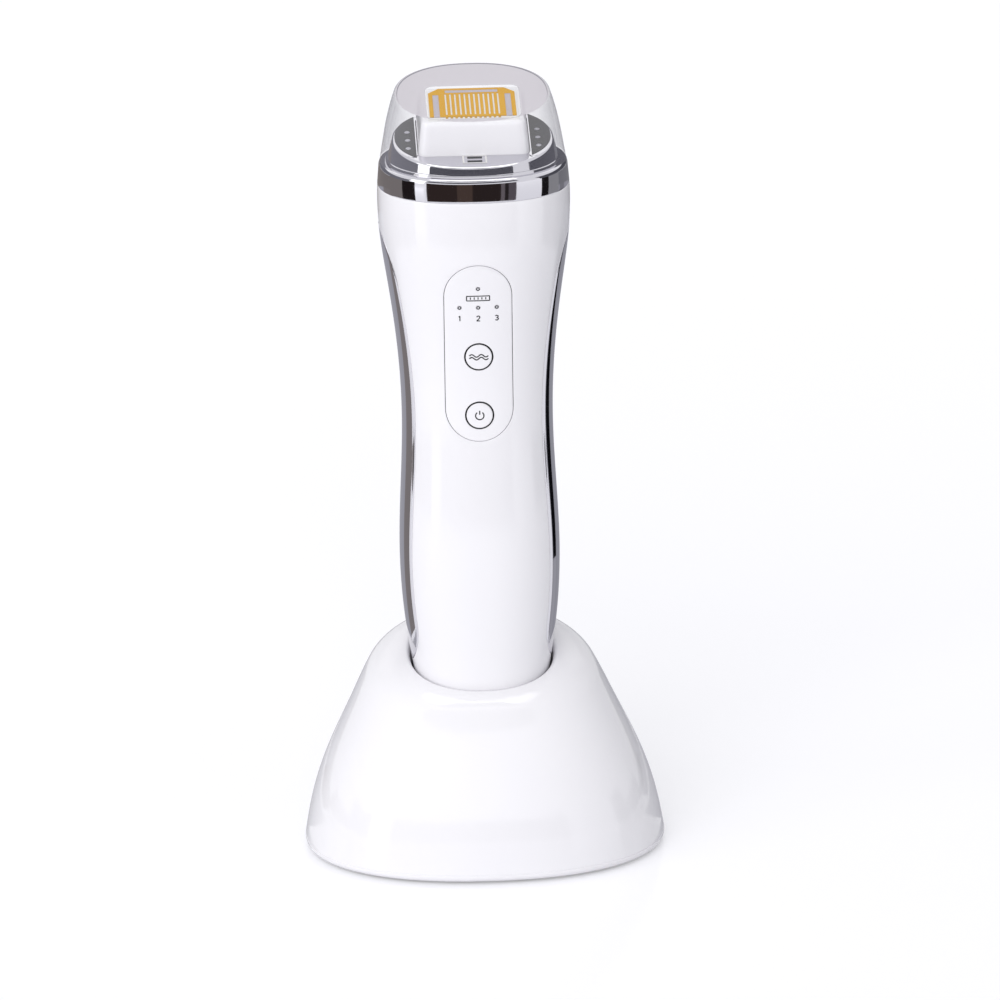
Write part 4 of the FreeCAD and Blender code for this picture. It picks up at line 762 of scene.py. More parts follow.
class NodeFinish(Enum):
    """Solids of the frame that keep their own shape, by finish."""

    BLACK = (BLACK_PLASTIC, ("base_plate", "dc_jack", "contact_carrier", "mode_switch_case",
                             "power_switch_case", "buzzer", "cap_catch"))
    GREY = (GREY_PLASTIC, ("battery_cradle", "mode_switch_plunger", "power_switch_plunger"))
    RUBBERS = (RUBBER, ("foot_pads", "button_seals", "collar_seal"))
    STEELS = (STEEL, ("base_screws", "carrier_screws", "housing_screws", "board_screws", "rf_board_screws",
                      "head_screws", "dc_jack_pin"))
    BOARDS = (BOARD, ("stand_board", "charge_board", "main_board", "rf_board", "lamp_boards"))
    CONTACTS = (CONTACT_GOLD, ("charge_contacts", "charge_pin_left", "charge_pin_right"))
    CLEAR = (LAMP, ("indicator_lamps", "treatment_lamps"))
    GUIDES = (GUIDE, ("light_guide",))
    FERRITES = (FERRITE, ("transformer_core",))
    COPPERS = (COPPER, ("transformer_winding",))
    CELLS = (CELL_JACKET, ("battery_cell",))
    CANS = (CAN_METAL, ("capacitors",))
    CERAMICS = (CERAMIC, ("electrode_carrier",))
    GOLDS = (GOLD_FILM, ("gold_electrode",))
    GREYS = (GREY_FILM, ("grey_electrode",))

    def dress(self, nodes: dict[str, bpy.types.Object]) -> None:
        """Give these solids their finish.

        Args:
            nodes: The frame's solids by name.
        """
        finish, names = self.value
        for name in names:
            slots = nodes[name].data.materials
            slots.clear()
            slots.append(finish.material())
        LOG.info("%s: %d solids keep their shape", finish.name, len(names))


@dataclass(frozen=True)
class BodyForm:
    """Smooth oval form of the handset body."""

    setback: float = 3.0
    foot: float = 26.0
    length: float = 149.8
    head_width: float = 48.5
    power: float = 2.25
    rise_shares: Shares = (-0.04, 0.0, 0.127, 0.234, 0.354, 0.474, 0.581, 0.701, 0.821, 0.928, 1.0, 1.04)
    width_shares: Shares = (0.625, 0.647, 0.717, 0.803, 0.841, 0.814, 0.79, 0.818, 0.905, 0.992, 1.0, 0.978)
    depth_shares: Shares = (0.93, 0.93, 0.925, 0.915, 0.91, 0.905, 0.905, 0.90, 0.895, 0.89, 0.885, 0.885)
    plate_half: Pair = (10.4, 7.8)

    @property
    def top(self) -> float:
        """Height of the body's upper end."""
        return self.foot + self.length

    def halves(self, level: Array) -> tuple[Array, Array]:
        """Half the body's size at some heights, from a smooth curve through known shares of the head's width.

        Args:
            level: Heights.

        Returns:
            Half the width and half the depth.
        """
        knots = self.foot + self.length * np.array(self.rise_shares)
        widths = self.head_width * np.array(self.width_shares) / 2
        return Spline(knots, widths)(level), Spline(knots, widths * np.array(self.depth_shares))(level)

    def ring(self, turns: Array, level: Array, grow: Array | float = 0.0) -> Array:
        """Points of the oval round the body.

        Args:
            turns: Angles from +X towards the back.
            level: Heights.
            grow: Distance by which the oval is larger all round.

        Returns:
            Points, as large as the arguments broadcast together.
        """
        half_x, half_y = self.halves(level)
        across, along = superoval(turns, self.power)
        return joined((half_x + grow) * across, self.setback + (half_y + grow) * along, level)

    def face(self, side: int, grow: float = 0.0) -> Surface:
        """Give the front or the back of the body as a surface over two flat coordinates.

        Args:
            side: -1 for the front, 1 for the back.
            grow: Distance by which the form is larger all round.

        Returns:
            Function of the coordinate to the right as seen from that side, the height and a depth.
        """
        def surface(across: Array, level: Array, sink: Array) -> Array:
            """Take half the depth times the arch of the share of the half width.

            Args:
                across: Distances to the right as seen from that side.
                level: Heights.
                sink: Depths under the surface.

            Returns:
                Points.
            """
            half_x, half_y = self.halves(level)
            out = (half_y + grow) * arch(across / (half_x + grow), self.power) - sink
            return joined(-side * across, self.setback + side * out, level)
        return surface

    def plate(self, skin: Skin, level: float, side: int, counts: tuple[int, int], holes: list[Stadium],
              edge: float, depth: float) -> tuple[Array, Array]:
        """Add a level rectangle with holes inside the oval.

        Args:
            skin: Skin that gets it.
            level: Its height.
            side: 1 if it looks up, -1 if it looks down.
            counts: Number of columns and of rows.
            holes: Its holes.
            edge: Radius of their edges.
            depth: Depth of their walls.

        Returns:
            Points of its border, and their angles round the oval.
        """
        def surface(right: Array, up: Array, sink: Array) -> Array:
            """Place flat coordinates at the plate's height."""
            return joined(right, self.setback + side * up, level - side * sink)

        across, along = (np.linspace(-half, half, count) for half, count in zip(self.plate_half, counts))
        flat = joined(across[None, :], along[:, None])
        points = surface(flat[..., 0], flat[..., 1], np.zeros(()))
        skin.holed_grid(points, flat, holes, surface, edge, depth)
        inner = points[border(0, len(along) - 1, 0, len(across) - 1)]
        half_x, half_y = self.halves(np.array(level))
        return inner, np.arctan2((inner[:, 1] - self.setback) / half_y, inner[:, 0] / half_x)


@dataclass
class Handset:
    """White handset body with its side strips, tail and control panel."""

    form: BodyForm = field(default_factory=BodyForm)
    half_columns: int = 93
    below_rows: int = 18
    above_rows: int = 16
    seam: float = 0.06
    seam_sinks: Shares = (1.4, 0.15, 0.04)
    seam_steps: Shares = (0.0, 0.0, 0.04)
    seam_step: float = 0.15
    strip_gap: float = 0.12
    strip_half: float = 10.3
    strip_foot: float = 49.2
    strip_low: float = 61.2
    strip_high: float = 152.5
    strip_top: float = 165.5
    strip_proud: float = 0.1
    strip_sinks: Shares = (1.2, 0.22, 0.06)
    strip_columns: int = 33
    strip_tip_rows: int = 22
    strip_rows: int = 62
    tail_height: float = 5.0
    tail_radius: float = 2.0
    tail_counts: tuple[int, int] = (40, 30)
    tail_bends: int = 7
    tail_wall_start: float = 0.6
    tail_wall_rows: int = 4
    tail_floor_rows: int = 6
    contact_span: float = 13.0
    contact_hole: float = 2.72
    contact_depth: float = 1.4
    contact_room: float = 0.7
    contact_edge: float = 0.15
    well_places: tuple[Pair, ...] = ((13.2, 52.0), (16.2, 159.5))
    well_radius: float = 2.12
    well_room: float = 0.9
    well_seat: float = 10.0
    panel_level: float = 135.8
    panel_radius: float = 8.5
    panel_straight: float = 15.1
    panel_gap: float = 0.15
    panel_edge: float = 0.12
    panel_depth: float = 1.05
    panel_room: float = 2.4
    panel_step: float = 0.42
    panel_half: float = 5.75
    panel_ends: Pair = (-20.75, 18.6)
    mark_digits: int = 4
    mode_drop: float = 1.05
    button_pitch: float = 15.7
    button_radius: float = 3.3
    button_proud: float = 0.25
    button_hole: float = 3.71
    button_room: float = 0.29
    button_edge: float = 0.22
    button_side: float = 1.2
    button_core: float = 0.5
    button_columns: int = 72
    button_rows: int = 8
    button_bends: int = 5
    button_stem: float = 1.4
    button_stem_length: float = 3.0
    button_flange: float = 4.2
    button_flange_height: float = 0.8
    button_flange_gap: float = 2.0
    button_neck: float = 3.15
    lamp_hole: float = 0.58
    lamp_room: float = 0.37
    lamp_edge: float = 0.06
    lamp_row: float = 12.3
    lamp_pitch: float = 4.7
    lamp_ring: float = 0.33
    lamp_ring_width: float = 0.24
    charge_rise: float = 17.4
    print_width: float = 0.27
    print_lift: float = 0.03
    print_step: float = 0.1
    gauge_rise: float = 14.85
    gauge_width: float = 5.8
    gauge_height: float = 1.25
    gauge_bars: int = 5
    number_rise: float = 9.4
    number_height: float = 1.35
    key_print_width: float = 0.31
    wave_width: float = 4.8
    wave_height: float = 0.34
    wave_gap: float = 0.75
    wave_turns: float = 2.0
    power_radius: float = 1.05
    power_gap: float = 38.0
    power_bar: Pair = (0.25, 1.25)
    curve_points: int = 61
    loop_points: int = 41
    ring_points: int = 33

    def leaf(self, level: Array, grow: float) -> Array:
        """Half the depth of a side strip: straight in the middle, with half-ellipse ends.

        Args:
            level: Heights.
            grow: Distance by which the outline is larger.

        Returns:
            Half depths, zero above and below the strip.
        """
        lower = (self.strip_low - level) / (self.strip_low - self.strip_foot + grow)
        upper = (level - self.strip_high) / (self.strip_top - self.strip_high + grow)
        end = np.clip(np.maximum(lower, upper), 0, 1)
        return (self.strip_half + grow) * np.sqrt(1 - end ** 2)

    def strip_levels(self, grow: float) -> Array:
        """Heights along a strip, closer together at its tips, where the outline turns.

        Args:
            grow: Distance by which the outline is larger.

        Returns:
            Rising heights.
        """
        bend = np.linspace(0, QUARTER, self.strip_tip_rows)
        low = self.strip_low - (self.strip_low - self.strip_foot + grow) * np.cos(bend)
        high = self.strip_high + (self.strip_top - self.strip_high + grow) * np.sin(bend)
        middle = np.linspace(self.strip_low, self.strip_high, self.strip_rows)[1:-1]
        return np.concatenate([low, middle, high])

    def half_shell(self, side: int, holes: list[Stadium], seat: float | None = None) -> Skin:
        """Front or back half of the housing, bitten in at the side strips, with rounded seams.

        Each row runs from one seam to the other at even steps of the oval's angle. The last columns and rows
        bend inwards.

        Args:
            side: -1 for the front, 1 for the back.
            holes: Holes in the half.
            seat: Y of the ends of their walls, where it isn't at an even depth.

        Returns:
            The half as a skin.
        """
        strip, rises = self.strip_levels(self.strip_gap), np.array(END_RISES)
        low, high = self.form.foot + self.tail_height, self.form.top
        below = np.linspace(low + END_LAND, strip[0], self.below_rows)[:-1]
        above = np.linspace(strip[-1], high - END_LAND, self.above_rows)[1:]
        inner = np.concatenate([below, strip, above])
        levels = np.concatenate([low + rises, inner, high - rises[::-1]])[:, None]
        spans = framed((-1, -1, -1), np.linspace(-1, 1, self.half_columns), -1)
        sink = (framed(END_SINKS, np.zeros(len(inner)))[:, None]
                + framed(self.seam_sinks, np.zeros(self.half_columns)))
        steps = framed(self.seam_steps, np.full(self.half_columns, self.seam_step))
        half_x, half_y = self.form.halves(levels)
        limit = np.maximum(self.leaf(levels, self.strip_gap), self.seam) + steps
        last = np.arccos(np.clip(limit / (half_y - sink), 0, 1) ** (self.form.power / 2))
        over, out = superoval(QUARTER - spans * last, self.form.power)
        points = joined(-side * (half_x - sink) * over, self.form.setback + side * (half_y - sink) * out,
                        levels)
        skin = Skin()
        skin.holed_grid(points, joined(-side * points[..., 0], levels), holes, self.form.face(side),
                        self.panel_edge, self.panel_depth, seat)
        return skin

    def housing(self) -> None:
        """Front half of the housing round the control panel, and back half with its four screw wells."""
        pill = Stadium(0.0, self.panel_level, self.panel_radius + self.panel_gap, self.panel_straight,
                       self.panel_room)
        wells = [Stadium(sign * x, level, self.well_radius, room=self.well_room)
                 for x, level in self.well_places for sign in BOTH]
        front, back = self.half_shell(-1, [pill]), self.half_shell(1, wells, self.well_seat)
        front.piece("front_shell", "handset", "white_gloss", WHITE_GLOSS, ("front_housing",))
        back.piece("rear_shell", "handset", "white_gloss", WHITE_GLOSS, ("rear_housing",))

    def strip(self, side: int, name: str) -> None:
        """Polished leaf-shaped strip in one side of the body.

        Across the strip the distance from the middle runs evenly from edge to edge, and x follows the oval.

        Args:
            side: -1 for the left, 1 for the right.
            name: Name of the solid that it replaces.
        """
        levels = self.strip_levels(0.0)[:, None]
        shares = framed(PLATE_EDGE, np.linspace(-PLATE_INNER, PLATE_INNER, self.strip_columns), -1)
        grow = self.strip_proud - framed(self.strip_sinks, np.zeros(self.strip_columns))
        half_x, half_y = self.form.halves(levels)
        along = side * shares * self.leaf(levels, 0.0)
        across = side * (half_x + grow) * arch(along / (half_y + grow), self.form.power)
        skin = Skin().grid(joined(across, self.form.setback + along, levels))
        skin.piece(name.replace("side_strip", "chrome_strip"), "handset", "chrome_trim", CHROME, (name,))

    def tail(self) -> None:
        """Rounded end cap under the housing, with wells for the two charge contacts."""
        skin, form = Skin(), self.form
        wells = [Stadium(sign * self.contact_span / 2, 0.0, self.contact_hole, room=self.contact_room)
                 for sign in BOTH]
        inner, turns = form.plate(skin, form.foot, -1, self.tail_counts, wells, self.contact_edge,
                                  self.contact_depth)
        straight = np.linspace(self.tail_wall_start, self.tail_height - self.tail_radius, self.tail_wall_rows)
        drops = np.concatenate([END_RISES, [END_LAND], straight])[:, None]
        sinks = np.concatenate([END_SINKS, np.zeros(1 + len(straight))])[:, None]
        bend = np.linspace(0, QUARTER, self.tail_bends)[:, None]
        wall = form.ring(turns, form.foot + self.tail_height - drops, -sinks)
        curve = form.ring(turns, form.foot + self.tail_radius * (1 - np.sin(bend)),
                          -self.tail_radius * (1 - np.cos(bend)))
        skin.grid(np.concatenate([wall, curve, between(curve[-1], inner, self.tail_floor_rows)]), wrap=True)
        skin.piece("tail_end", "handset", "white_gloss", WHITE_GLOSS, ("tail_cap",))

    def lamp_places(self) -> list[Pair]:
        """Places of the charge lamp and of the three lamps in a row, from the panel's middle."""
        return [(0.0, self.charge_rise)] + [(step * self.lamp_pitch, self.lamp_row) for step in (-1, 0, 1)]

    def button_levels(self) -> Pair:
        """Heights of the mode button and the power button."""
        mode = self.panel_level - self.mode_drop
        return mode, mode - self.button_pitch

    def panel(self) -> None:
        """Pill-shaped control panel with holes for two buttons and four lamps and a rounded outer edge."""
        surface = self.form.face(-1)
        holes = [Stadium(0.0, level, self.button_hole, room=self.button_room)
                 for level in self.button_levels()]
        holes += [Stadium(x, self.panel_level + rise, self.lamp_hole, room=self.lamp_room)
                  for x, rise in self.lamp_places()]
        middles = np.array([(hole.across, hole.along) for hole in holes])
        reach = np.array([[hole.radius + hole.room] for hole in holes])
        ends = joined(np.array(BOTH) * self.panel_half, self.panel_level + np.array(self.panel_ends))
        marks = np.concatenate([middles - reach, middles + reach, ends]).round(self.mark_digits)
        across, along = (ruled(column, self.panel_step) for column in marks.T)
        flat = joined(across[None, :], along[:, None])
        points = surface(flat[..., 0], flat[..., 1], np.zeros(()))
        skin = Skin()
        skin.holed_grid(points, flat, holes, surface, self.lamp_edge, self.panel_depth)
        pill = Stadium(0.0, self.panel_level, self.panel_radius, self.panel_straight)
        at = border(0, len(along) - 1, 0, len(across) - 1)
        skin.hole_rim(points[at], flat[at], pill, surface, self.panel_edge, self.panel_depth, outward=True)
        skin.piece("panel_face", "handset", "white_gloss", WHITE_GLOSS, ("control_panel",))

    def button(self, level: float, name: str) -> None:
        """Round push button: a profile turned round its axis, with a rounded edge, a flange and a stem.

        Args:
            level: Height of its middle.
            name: Name of the solid that it replaces, and of its body.
        """
        edge = self.button_edge
        turns = np.linspace(0, FULL, self.button_columns + 1)[:-1]
        bend = np.linspace(0, QUARTER, self.button_bends)[1:]
        flat = np.append(0.0, np.linspace(self.button_core, self.button_radius - edge, self.button_rows))
        radii = np.concatenate([flat, self.button_radius - edge * (1 - np.sin(bend)), [self.button_radius]])
        sinks = np.concatenate([np.zeros(len(flat)), edge * (1 - np.cos(bend)), [self.button_side]])
        radii, sinks = radii[::-1, None], sinks[::-1, None]
        surface = self.form.face(-1, self.button_proud)
        face = surface(radii * np.cos(turns), level + radii * np.sin(turns), sinks)
        shank = np.array([
            (self.button_stem, self.button_stem_length), (self.button_stem, self.button_flange_height),
            (self.button_flange, self.button_flange_height), (self.button_flange, 0.0),
            (self.button_neck, 0.0)])
        reach, depths = shank[:, :1], face[0, 0, 1] + self.button_flange_gap + shank[:, 1:]
        rings = joined(reach * np.cos(turns), depths, level + reach * np.sin(turns))
        skin = Skin().grid(np.concatenate([rings, face]), wrap=True)
        skin.piece(name.replace("button", "key"), name, "white_gloss", WHITE_GLOSS, (name,))

    def panel_print(self) -> None:
        """Charge gauge under the charge lamp, plain numbers under the lamp row and a ring round each lamp."""
        skin, surface = Skin(), self.form.face(-1)
        half_x, half_y = self.gauge_width / 2, self.gauge_height / 2
        lines = [rectangle(half_x, -half_y, half_y)]
        lines += [((share * half_x, -half_y / 2), (share * half_x, half_y / 2))
                  for share in np.linspace(-1, 1, self.gauge_bars + 2)[1:-1]]
        marks = [(line, 0.0, self.gauge_rise) for line in lines]
        marks += [(np.array(shares) * self.number_height, step * self.lamp_pitch, self.number_rise)
                  for step, shares in zip((-1, 0, 1), NUMBER_SHARES)]
        for line, x, rise in marks:
            path = drawn(line, self.print_step) + (x, self.panel_level + rise)
            skin.stroke(path, self.print_width, surface, self.print_lift)
        for x, rise in self.lamp_places():
            path = arc(self.lamp_ring, 0, 360, self.ring_points) + (x, self.panel_level + rise)
            skin.stroke(path, self.lamp_ring_width, surface, self.print_lift)
        skin.piece("panel_print", "handset", "grey_plastic", INK)

    def key_print(self) -> None:
        """Wave sign on the mode button and power sign, an open ring with a bar, on the power button."""
        surface = self.form.face(-1, self.button_proud)
        across = np.linspace(-1, 1, self.curve_points)
        wave = joined(across * self.wave_width / 2,
                      self.wave_height * np.sin(across * self.wave_turns * math.pi))
        waves = [wave + (0.0, sign * self.wave_gap / 2) for sign in BOTH]
        loop = arc(self.power_radius, 90 + self.power_gap, 450 - self.power_gap, self.loop_points)
        bar = drawn([(0.0, self.power_radius * share) for share in self.power_bar], self.print_step)
        for key, level, paths in zip(("mode", "power"), self.button_levels(), (waves, (loop, bar))):
            skin = Skin()
            for path in paths:
                skin.stroke(path + (0.0, level), self.key_print_width, surface, self.print_lift)
            skin.piece(f"{key}_print", f"{key}_button", "grey_plastic", INK)

    def build(self) -> None:
        """Make all pieces of the handset body."""
        self.housing()
        self.strip(-1, "side_strip_left")
        self.strip(1, "side_strip_right")
        self.tail()
        self.panel()
        for level, name in zip(self.button_levels(), ("mode_button", "power_button")):
            self.button(level, name)
        self.panel_print()
        self.key_print()


@dataclass
class Stand:
    """Flared charging stand with a rounded sloping rim and a socket for the handset."""

    form: BodyForm = field(default_factory=BodyForm)
    width: float = 93.2
    depth: float = 71.2
    lift: float = 0.8
    peak: float = 62.0
    power: float = 2.25
    rise_shares: Shares = (0.0, 0.2, 0.4, 0.6, 0.8, 1.0)
    side_shares: Shares = (1.0, 0.949, 0.855, 0.725, 0.579, 0.36)
    front_shares: Shares = (1.0, 0.96, 0.848, 0.66, 0.375, 0.1)
    back_shares: Shares = (1.0, 0.975, 0.935, 0.885, 0.825, 0.775)
    columns: int = 240
    flank_rows: int = 60
    rim_height: float = 50.0
    rim_slope: float = 15.0
    rim_radius: float = 12.0
    rim_rows: int = 14
    rim_step: float = 1.0
    land_least: float = 0.3
    land_rows: int = 6
    lip_radius: float = 1.4
    lip_rows: int = 8
    foot_radius: float = 1.6
    foot_rows: int = 7
    seam_levels: Shares = (2.55, 2.62, 2.8, 2.87)
    seam_sinks: Shares = (0.0, 0.14, 0.14, 0.0)
    wall: float = 2.4
    socket_gap: float = 0.55
    socket_floor: float = 26.0
    socket_lap: float = 0.6
    socket_lap_rows: int = 3
    socket_counts: tuple[int, int] = (52, 39)
    socket_rows: int = 24
    socket_floor_rows: int = 6
    jack_level: float = 9.5
    jack_hole: float = 4.12
    jack_room: float = 1.6
    jack_edge: float = 0.2
    jack_depth: float = 2.0
    jack_columns: int = 20
    jack_rows: int = 40
    pin_place: float = 6.5
    pin_hole: float = 1.08
    pin_room: float = 0.6
    pin_edge: float = 0.12

    def flank(self, turns: Array, level: Array, grow: Array | float = 0.0) -> Array:
        """Points of the flared form: an oval whose front and back move towards each other with the height.

        Args:
            turns: Angles from +X towards the back.
            level: Heights.
            grow: Distance by which the oval is larger all round.

        Returns:
            Points, as large as the arguments broadcast together.
        """
        knots = self.lift + (self.peak - self.lift) * np.array(self.rise_shares)
        sizes = ((self.side_shares, self.width), (self.front_shares, -self.depth),
                 (self.back_shares, self.depth))
        side, front, back = (Spline(knots, np.array(shares) * size / 2)(level) for shares, size in sizes)
        across, along = superoval(turns, self.power)
        return joined((side + grow) * across, (front + back) / 2 + ((back - front) / 2 + grow) * along, level)

    def rim_level(self, depth: Array) -> Array:
        """Height of the sloping rim at some depths."""
        return self.rim_height + (depth - self.form.setback) * math.tan(math.radians(self.rim_slope))

    def mouth(self, turns: Array) -> Array:
        """Points where the socket's wall meets the sloping rim, at some angles."""
        ring = partial(self.form.ring, turns, grow=self.socket_gap)
        return meet(ring, self.rim_level, self.rim_height, len(turns))

    def back_face(self, across: Array, level: Array, sink: Array) -> Array:
        """Back of the stand as a surface: half the depth times the arch of the share of the half width.

        Args:
            across: Distance to the right as seen from behind.
            level: Heights.
            sink: Depths under the surface.

        Returns:
            Points.
        """
        level = np.asarray(level, float)
        top, side = (self.flank(np.full(level.shape, turn), level) for turn in (QUARTER, 0.0))
        out = (top[..., 1] - side[..., 1]) * arch(across / side[..., 0], self.power)
        return joined(-across, side[..., 1] + out - sink, level)

    def shell(self) -> None:
        """Outer skin from the floor over the rim into the socket, with a hole for the power inlet."""
        turns = even_turns(self.columns, (self.width / 2, self.depth / 2), self.power)
        ring = partial(self.flank, turns)
        corner, mouth = meet(ring, self.rim_level, self.rim_height, self.columns), self.mouth(turns)
        inward = unit(mouth - corner)
        room = np.linalg.norm(mouth - corner, axis=-1) - self.lip_radius - self.land_least
        start, end = fillet(ring, corner, inward, self.rim_radius, self.rim_step, room)
        rim = rounded_corner(start, corner, end, self.rim_rows)
        lip_end = self.form.ring(turns, mouth[:, 2] - self.lip_radius, self.socket_gap)
        lip = rounded_corner(mouth - inward * self.lip_radius, mouth, lip_end, self.lip_rows)
        land = between(rim[-1], lip[0], self.land_rows)[:-1]
        drops = np.linspace(self.lip_radius, self.wall + self.socket_lap, self.socket_lap_rows)[1:, None]
        socket = self.form.ring(turns, mouth[:, 2] - drops, self.socket_gap)
        bend = np.linspace(0, QUARTER, self.foot_rows)[:, None]
        foot = ring(self.lift + self.foot_radius * (1 - np.cos(bend)), -self.foot_radius * (1 - np.sin(bend)))
        under = ring(np.array([[self.lift]]), -self.wall)
        seam = ring(np.array(self.seam_levels)[:, None], -np.array(self.seam_sinks)[:, None])
        share = np.linspace(0, 1, self.flank_rows)[1:-1, None]
        flank = ring(self.seam_levels[-1] + (start[:, 2] - self.seam_levels[-1]) * share)
        rows = np.concatenate([under, foot, seam, flank, rim, land, lip, socket])
        rows = np.concatenate([rows, rows[:, :1]], axis=1)
        first, middle = len(under) + len(foot) + len(seam) - 1, self.columns // 4
        last, left, right = first + self.jack_rows, middle - self.jack_columns, middle + self.jack_columns
        keep = np.ones((rows.shape[0] - 1, rows.shape[1] - 1), bool)
        keep[first:last - 1, left:right] = False
        skin = Skin().grid(rows, keep=keep)
        patch = rows[first:last, left:right + 1]
        hole = Stadium(0.0, self.jack_level, self.jack_hole, room=self.jack_room)
        skin.holed_grid(patch, joined(-patch[..., 0], patch[..., 2]), [hole], self.back_face, self.jack_edge,
                        self.jack_depth)
        skin.piece("stand_skin", "stand", "white_gloss", WHITE_GLOSS, ("stand_shell",))

    def socket(self) -> None:
        """Inside of the socket: a straight-sided cup with a floor that the two charge pins come through."""
        skin = Skin()
        pins = [Stadium(sign * self.pin_place, 0.0, self.pin_hole, room=self.pin_room) for sign in BOTH]
        inner, turns = self.form.plate(skin, self.socket_floor, 1, self.socket_counts, pins, self.pin_edge,
                                       self.wall)
        share = np.linspace(1, 0, self.socket_rows)[:, None]
        levels = self.socket_floor + (self.mouth(turns)[:, 2] - self.wall - self.socket_floor) * share
        wall = self.form.ring(turns, levels, self.socket_gap)
        skin.grid(np.concatenate([wall, between(wall[-1], inner, self.socket_floor_rows)]), wrap=True)
        skin.piece("socket_lining", "stand", "white_gloss", WHITE_GLOSS, ("socket_cup",))

    def build(self) -> None:
        """Make all pieces of the stand."""
        self.shell()
        self.socket()


@dataclass
class Head:
    """Chrome collar with the white head block, its lamp windows and the clear cap over them."""

    form: BodyForm = field(default_factory=BodyForm)
    tilt: float = 10.0
    level: float = 187.5
    columns: int = 224
    ring_halves: Pair = (22.0, 19.0)
    flange_height: float = 5.9
    flange_drop: float = 1.2
    flange_round: float = 0.8
    flange_rows: int = 9
    band_height: float = 0.8
    band_inset: float = 2.25
    band_draft: float = 0.1
    band_edge: float = 0.35
    band_rows: int = 5
    band_bends: int = 6
    dome_step: float = 0.5
    dome_width: float = 40.4
    dome_depth: float = 33.6
    dome_edge: float = 0.5
    dome_bends: int = 6
    dome_rows: int = 8
    opening_gap: float = 0.12
    opening_depth: float = 2.4
    block_width: float = 28.1
    block_depth: float = 22.8
    block_height: float = 8.7
    block_sunk: float = 3.0
    block_draft: float = 0.9
    block_corner: float = 2.2
    block_edge: float = 1.1
    block_columns: int = 200
    block_rows: int = 9
    block_bends: int = 7
    block_cover_rows: int = 6
    corner_points: int = 12
    window_start: float = 14.45
    window_margin: float = 0.5
    window_lift: float = 0.05
    window_sinks: Shares = (0.5, 0.04, 0.012)
    window_rows: int = 41
    window_columns: int = 9
    window_edge: Shares = (-1.0, -1.0, -0.94)
    window_inner: float = 0.84
    catch_width: float = 3.7
    catch_slot: float = 1.0
    catch_places: Pair = (-12.7, -14.8)
    catch_counts: tuple[int, int] = (13, 5)
    catch_lift: float = 0.03
    catch_line: float = 0.4
    catch_line_lift: float = 0.04
    catch_line_step: float = 0.1
    cap_wall: float = 1.3
    cap_peak: float = 24.3
    cap_rise: float = 11.7
    cap_gap: float = 0.02
    cap_step: float = 0.6
    cap_edge: float = 0.9
    cap_bends: int = 8
    cap_rows: int = 32
    cap_cover_rows: int = 10
    # Painted shade line on the edge of the cap's top: its width, its height over the top, and the share that
    # sets where it fades out
    cap_shade_line_width: float = 0.5
    cap_shade_line_lift: float = 0.02
    cap_shade_line_share: float = 0.35
    cap_rise_shares: Shares = (0.0, 0.236, 0.463, 0.749, 1.0)
    cap_width_shares: Shares = (0.97, 0.93, 0.885, 0.80, 0.705)
    cap_depth_shares: Shares = (0.885, 0.885, 0.89, 0.895, 0.90)

    def tilted(self, points: Array) -> Array:
        """Carry points from the head's own frame to the handset: a turn about X and a move.

        Args:
            points: Points in the head's frame.

        Returns:
            Points in the handset's frame.
        """
        angle = math.radians(self.tilt)
        x, y, z = points[..., 0], points[..., 1], points[..., 2]
        return joined(x, y * math.cos(angle) - z * math.sin(angle) + self.form.setback,
                      y * math.sin(angle) + z * math.cos(angle) + self.level)

    def meet_plane(self, ring: Ring, rise: float) -> Array:
        """Points where upright lines of a form meet a plane parallel to the head's rim.

        Args:
            ring: Gives the form's points at some heights.
            rise: Height of the plane over the rim.

        Returns:
            One point for each column.
        """
        angle = math.radians(self.tilt)
        return meet(ring, lambda depth: self.level + rise / math.cos(angle)
                    + (depth - self.form.setback) * math.tan(angle), self.level + rise, self.columns)

    @property
    def turns(self) -> Array:
        """Angles of the columns round the collar and the cap."""
        return even_turns(self.columns, self.ring_halves, self.form.power)

    @property
    def flange_top(self) -> float:
        """Height of the flange that the cap stands on."""
        return self.form.top + self.flange_height

    @property
    def band_top(self) -> float:
        """Height of the top of the collar's low neck."""
        return self.flange_top + self.band_height

    def block_outline(self, count: int, inset: float, corner: float) -> Array:
        """Rectangle with round corners at even steps along its length.

        Args:
            count: Number of points.
            inset: Distance inside the block's foot outline.
            corner: Radius of the corners.

        Returns:
            Points from the middle of the right side towards the back, by two.
        """
        half = np.array([self.block_width, self.block_depth]) / 2 - inset - corner
        bends = [arc(corner, start, start + 90, self.corner_points) + half * side
                 for start, side in zip((0, 90, 180, 270), ((1, 1), (-1, 1), (-1, -1), (1, -1)))]
        start = [(half[0] + corner, 0.0)]
        path = np.concatenate([start, *bends, start])
        lengths = travelled(path)
        even = np.arange(count) / count * lengths[-1]
        return joined(*(np.interp(even, lengths, column) for column in path.T))

    def collar(self) -> None:
        """Chrome collar: tall flange flush with the body, low neck, sloping dome and flat tilted top."""
        form, turns = self.form, self.turns
        turn = np.linspace(0, QUARTER, self.flange_rows)
        levels = np.concatenate([form.top + np.array((*END_RISES, END_LAND)),
                                 self.flange_top - self.flange_drop * (1 - np.sin(turn))])
        sinks = np.concatenate([END_SINKS, [0.0], self.flange_round * (1 - np.cos(turn))])
        flange = form.ring(turns, levels[:, None], -sinks[:, None])
        across, along = superoval(turns, form.power)
        half_x = form.head_width / 2 - self.band_inset
        half_y = form.head_width * form.depth_shares[-1] / 2 - self.band_inset

        def band(inset: Array, level: Array) -> Array:
            """Oval of the neck at a height."""
            return joined((half_x - inset) * across, form.setback + (half_y - inset) * along, level)

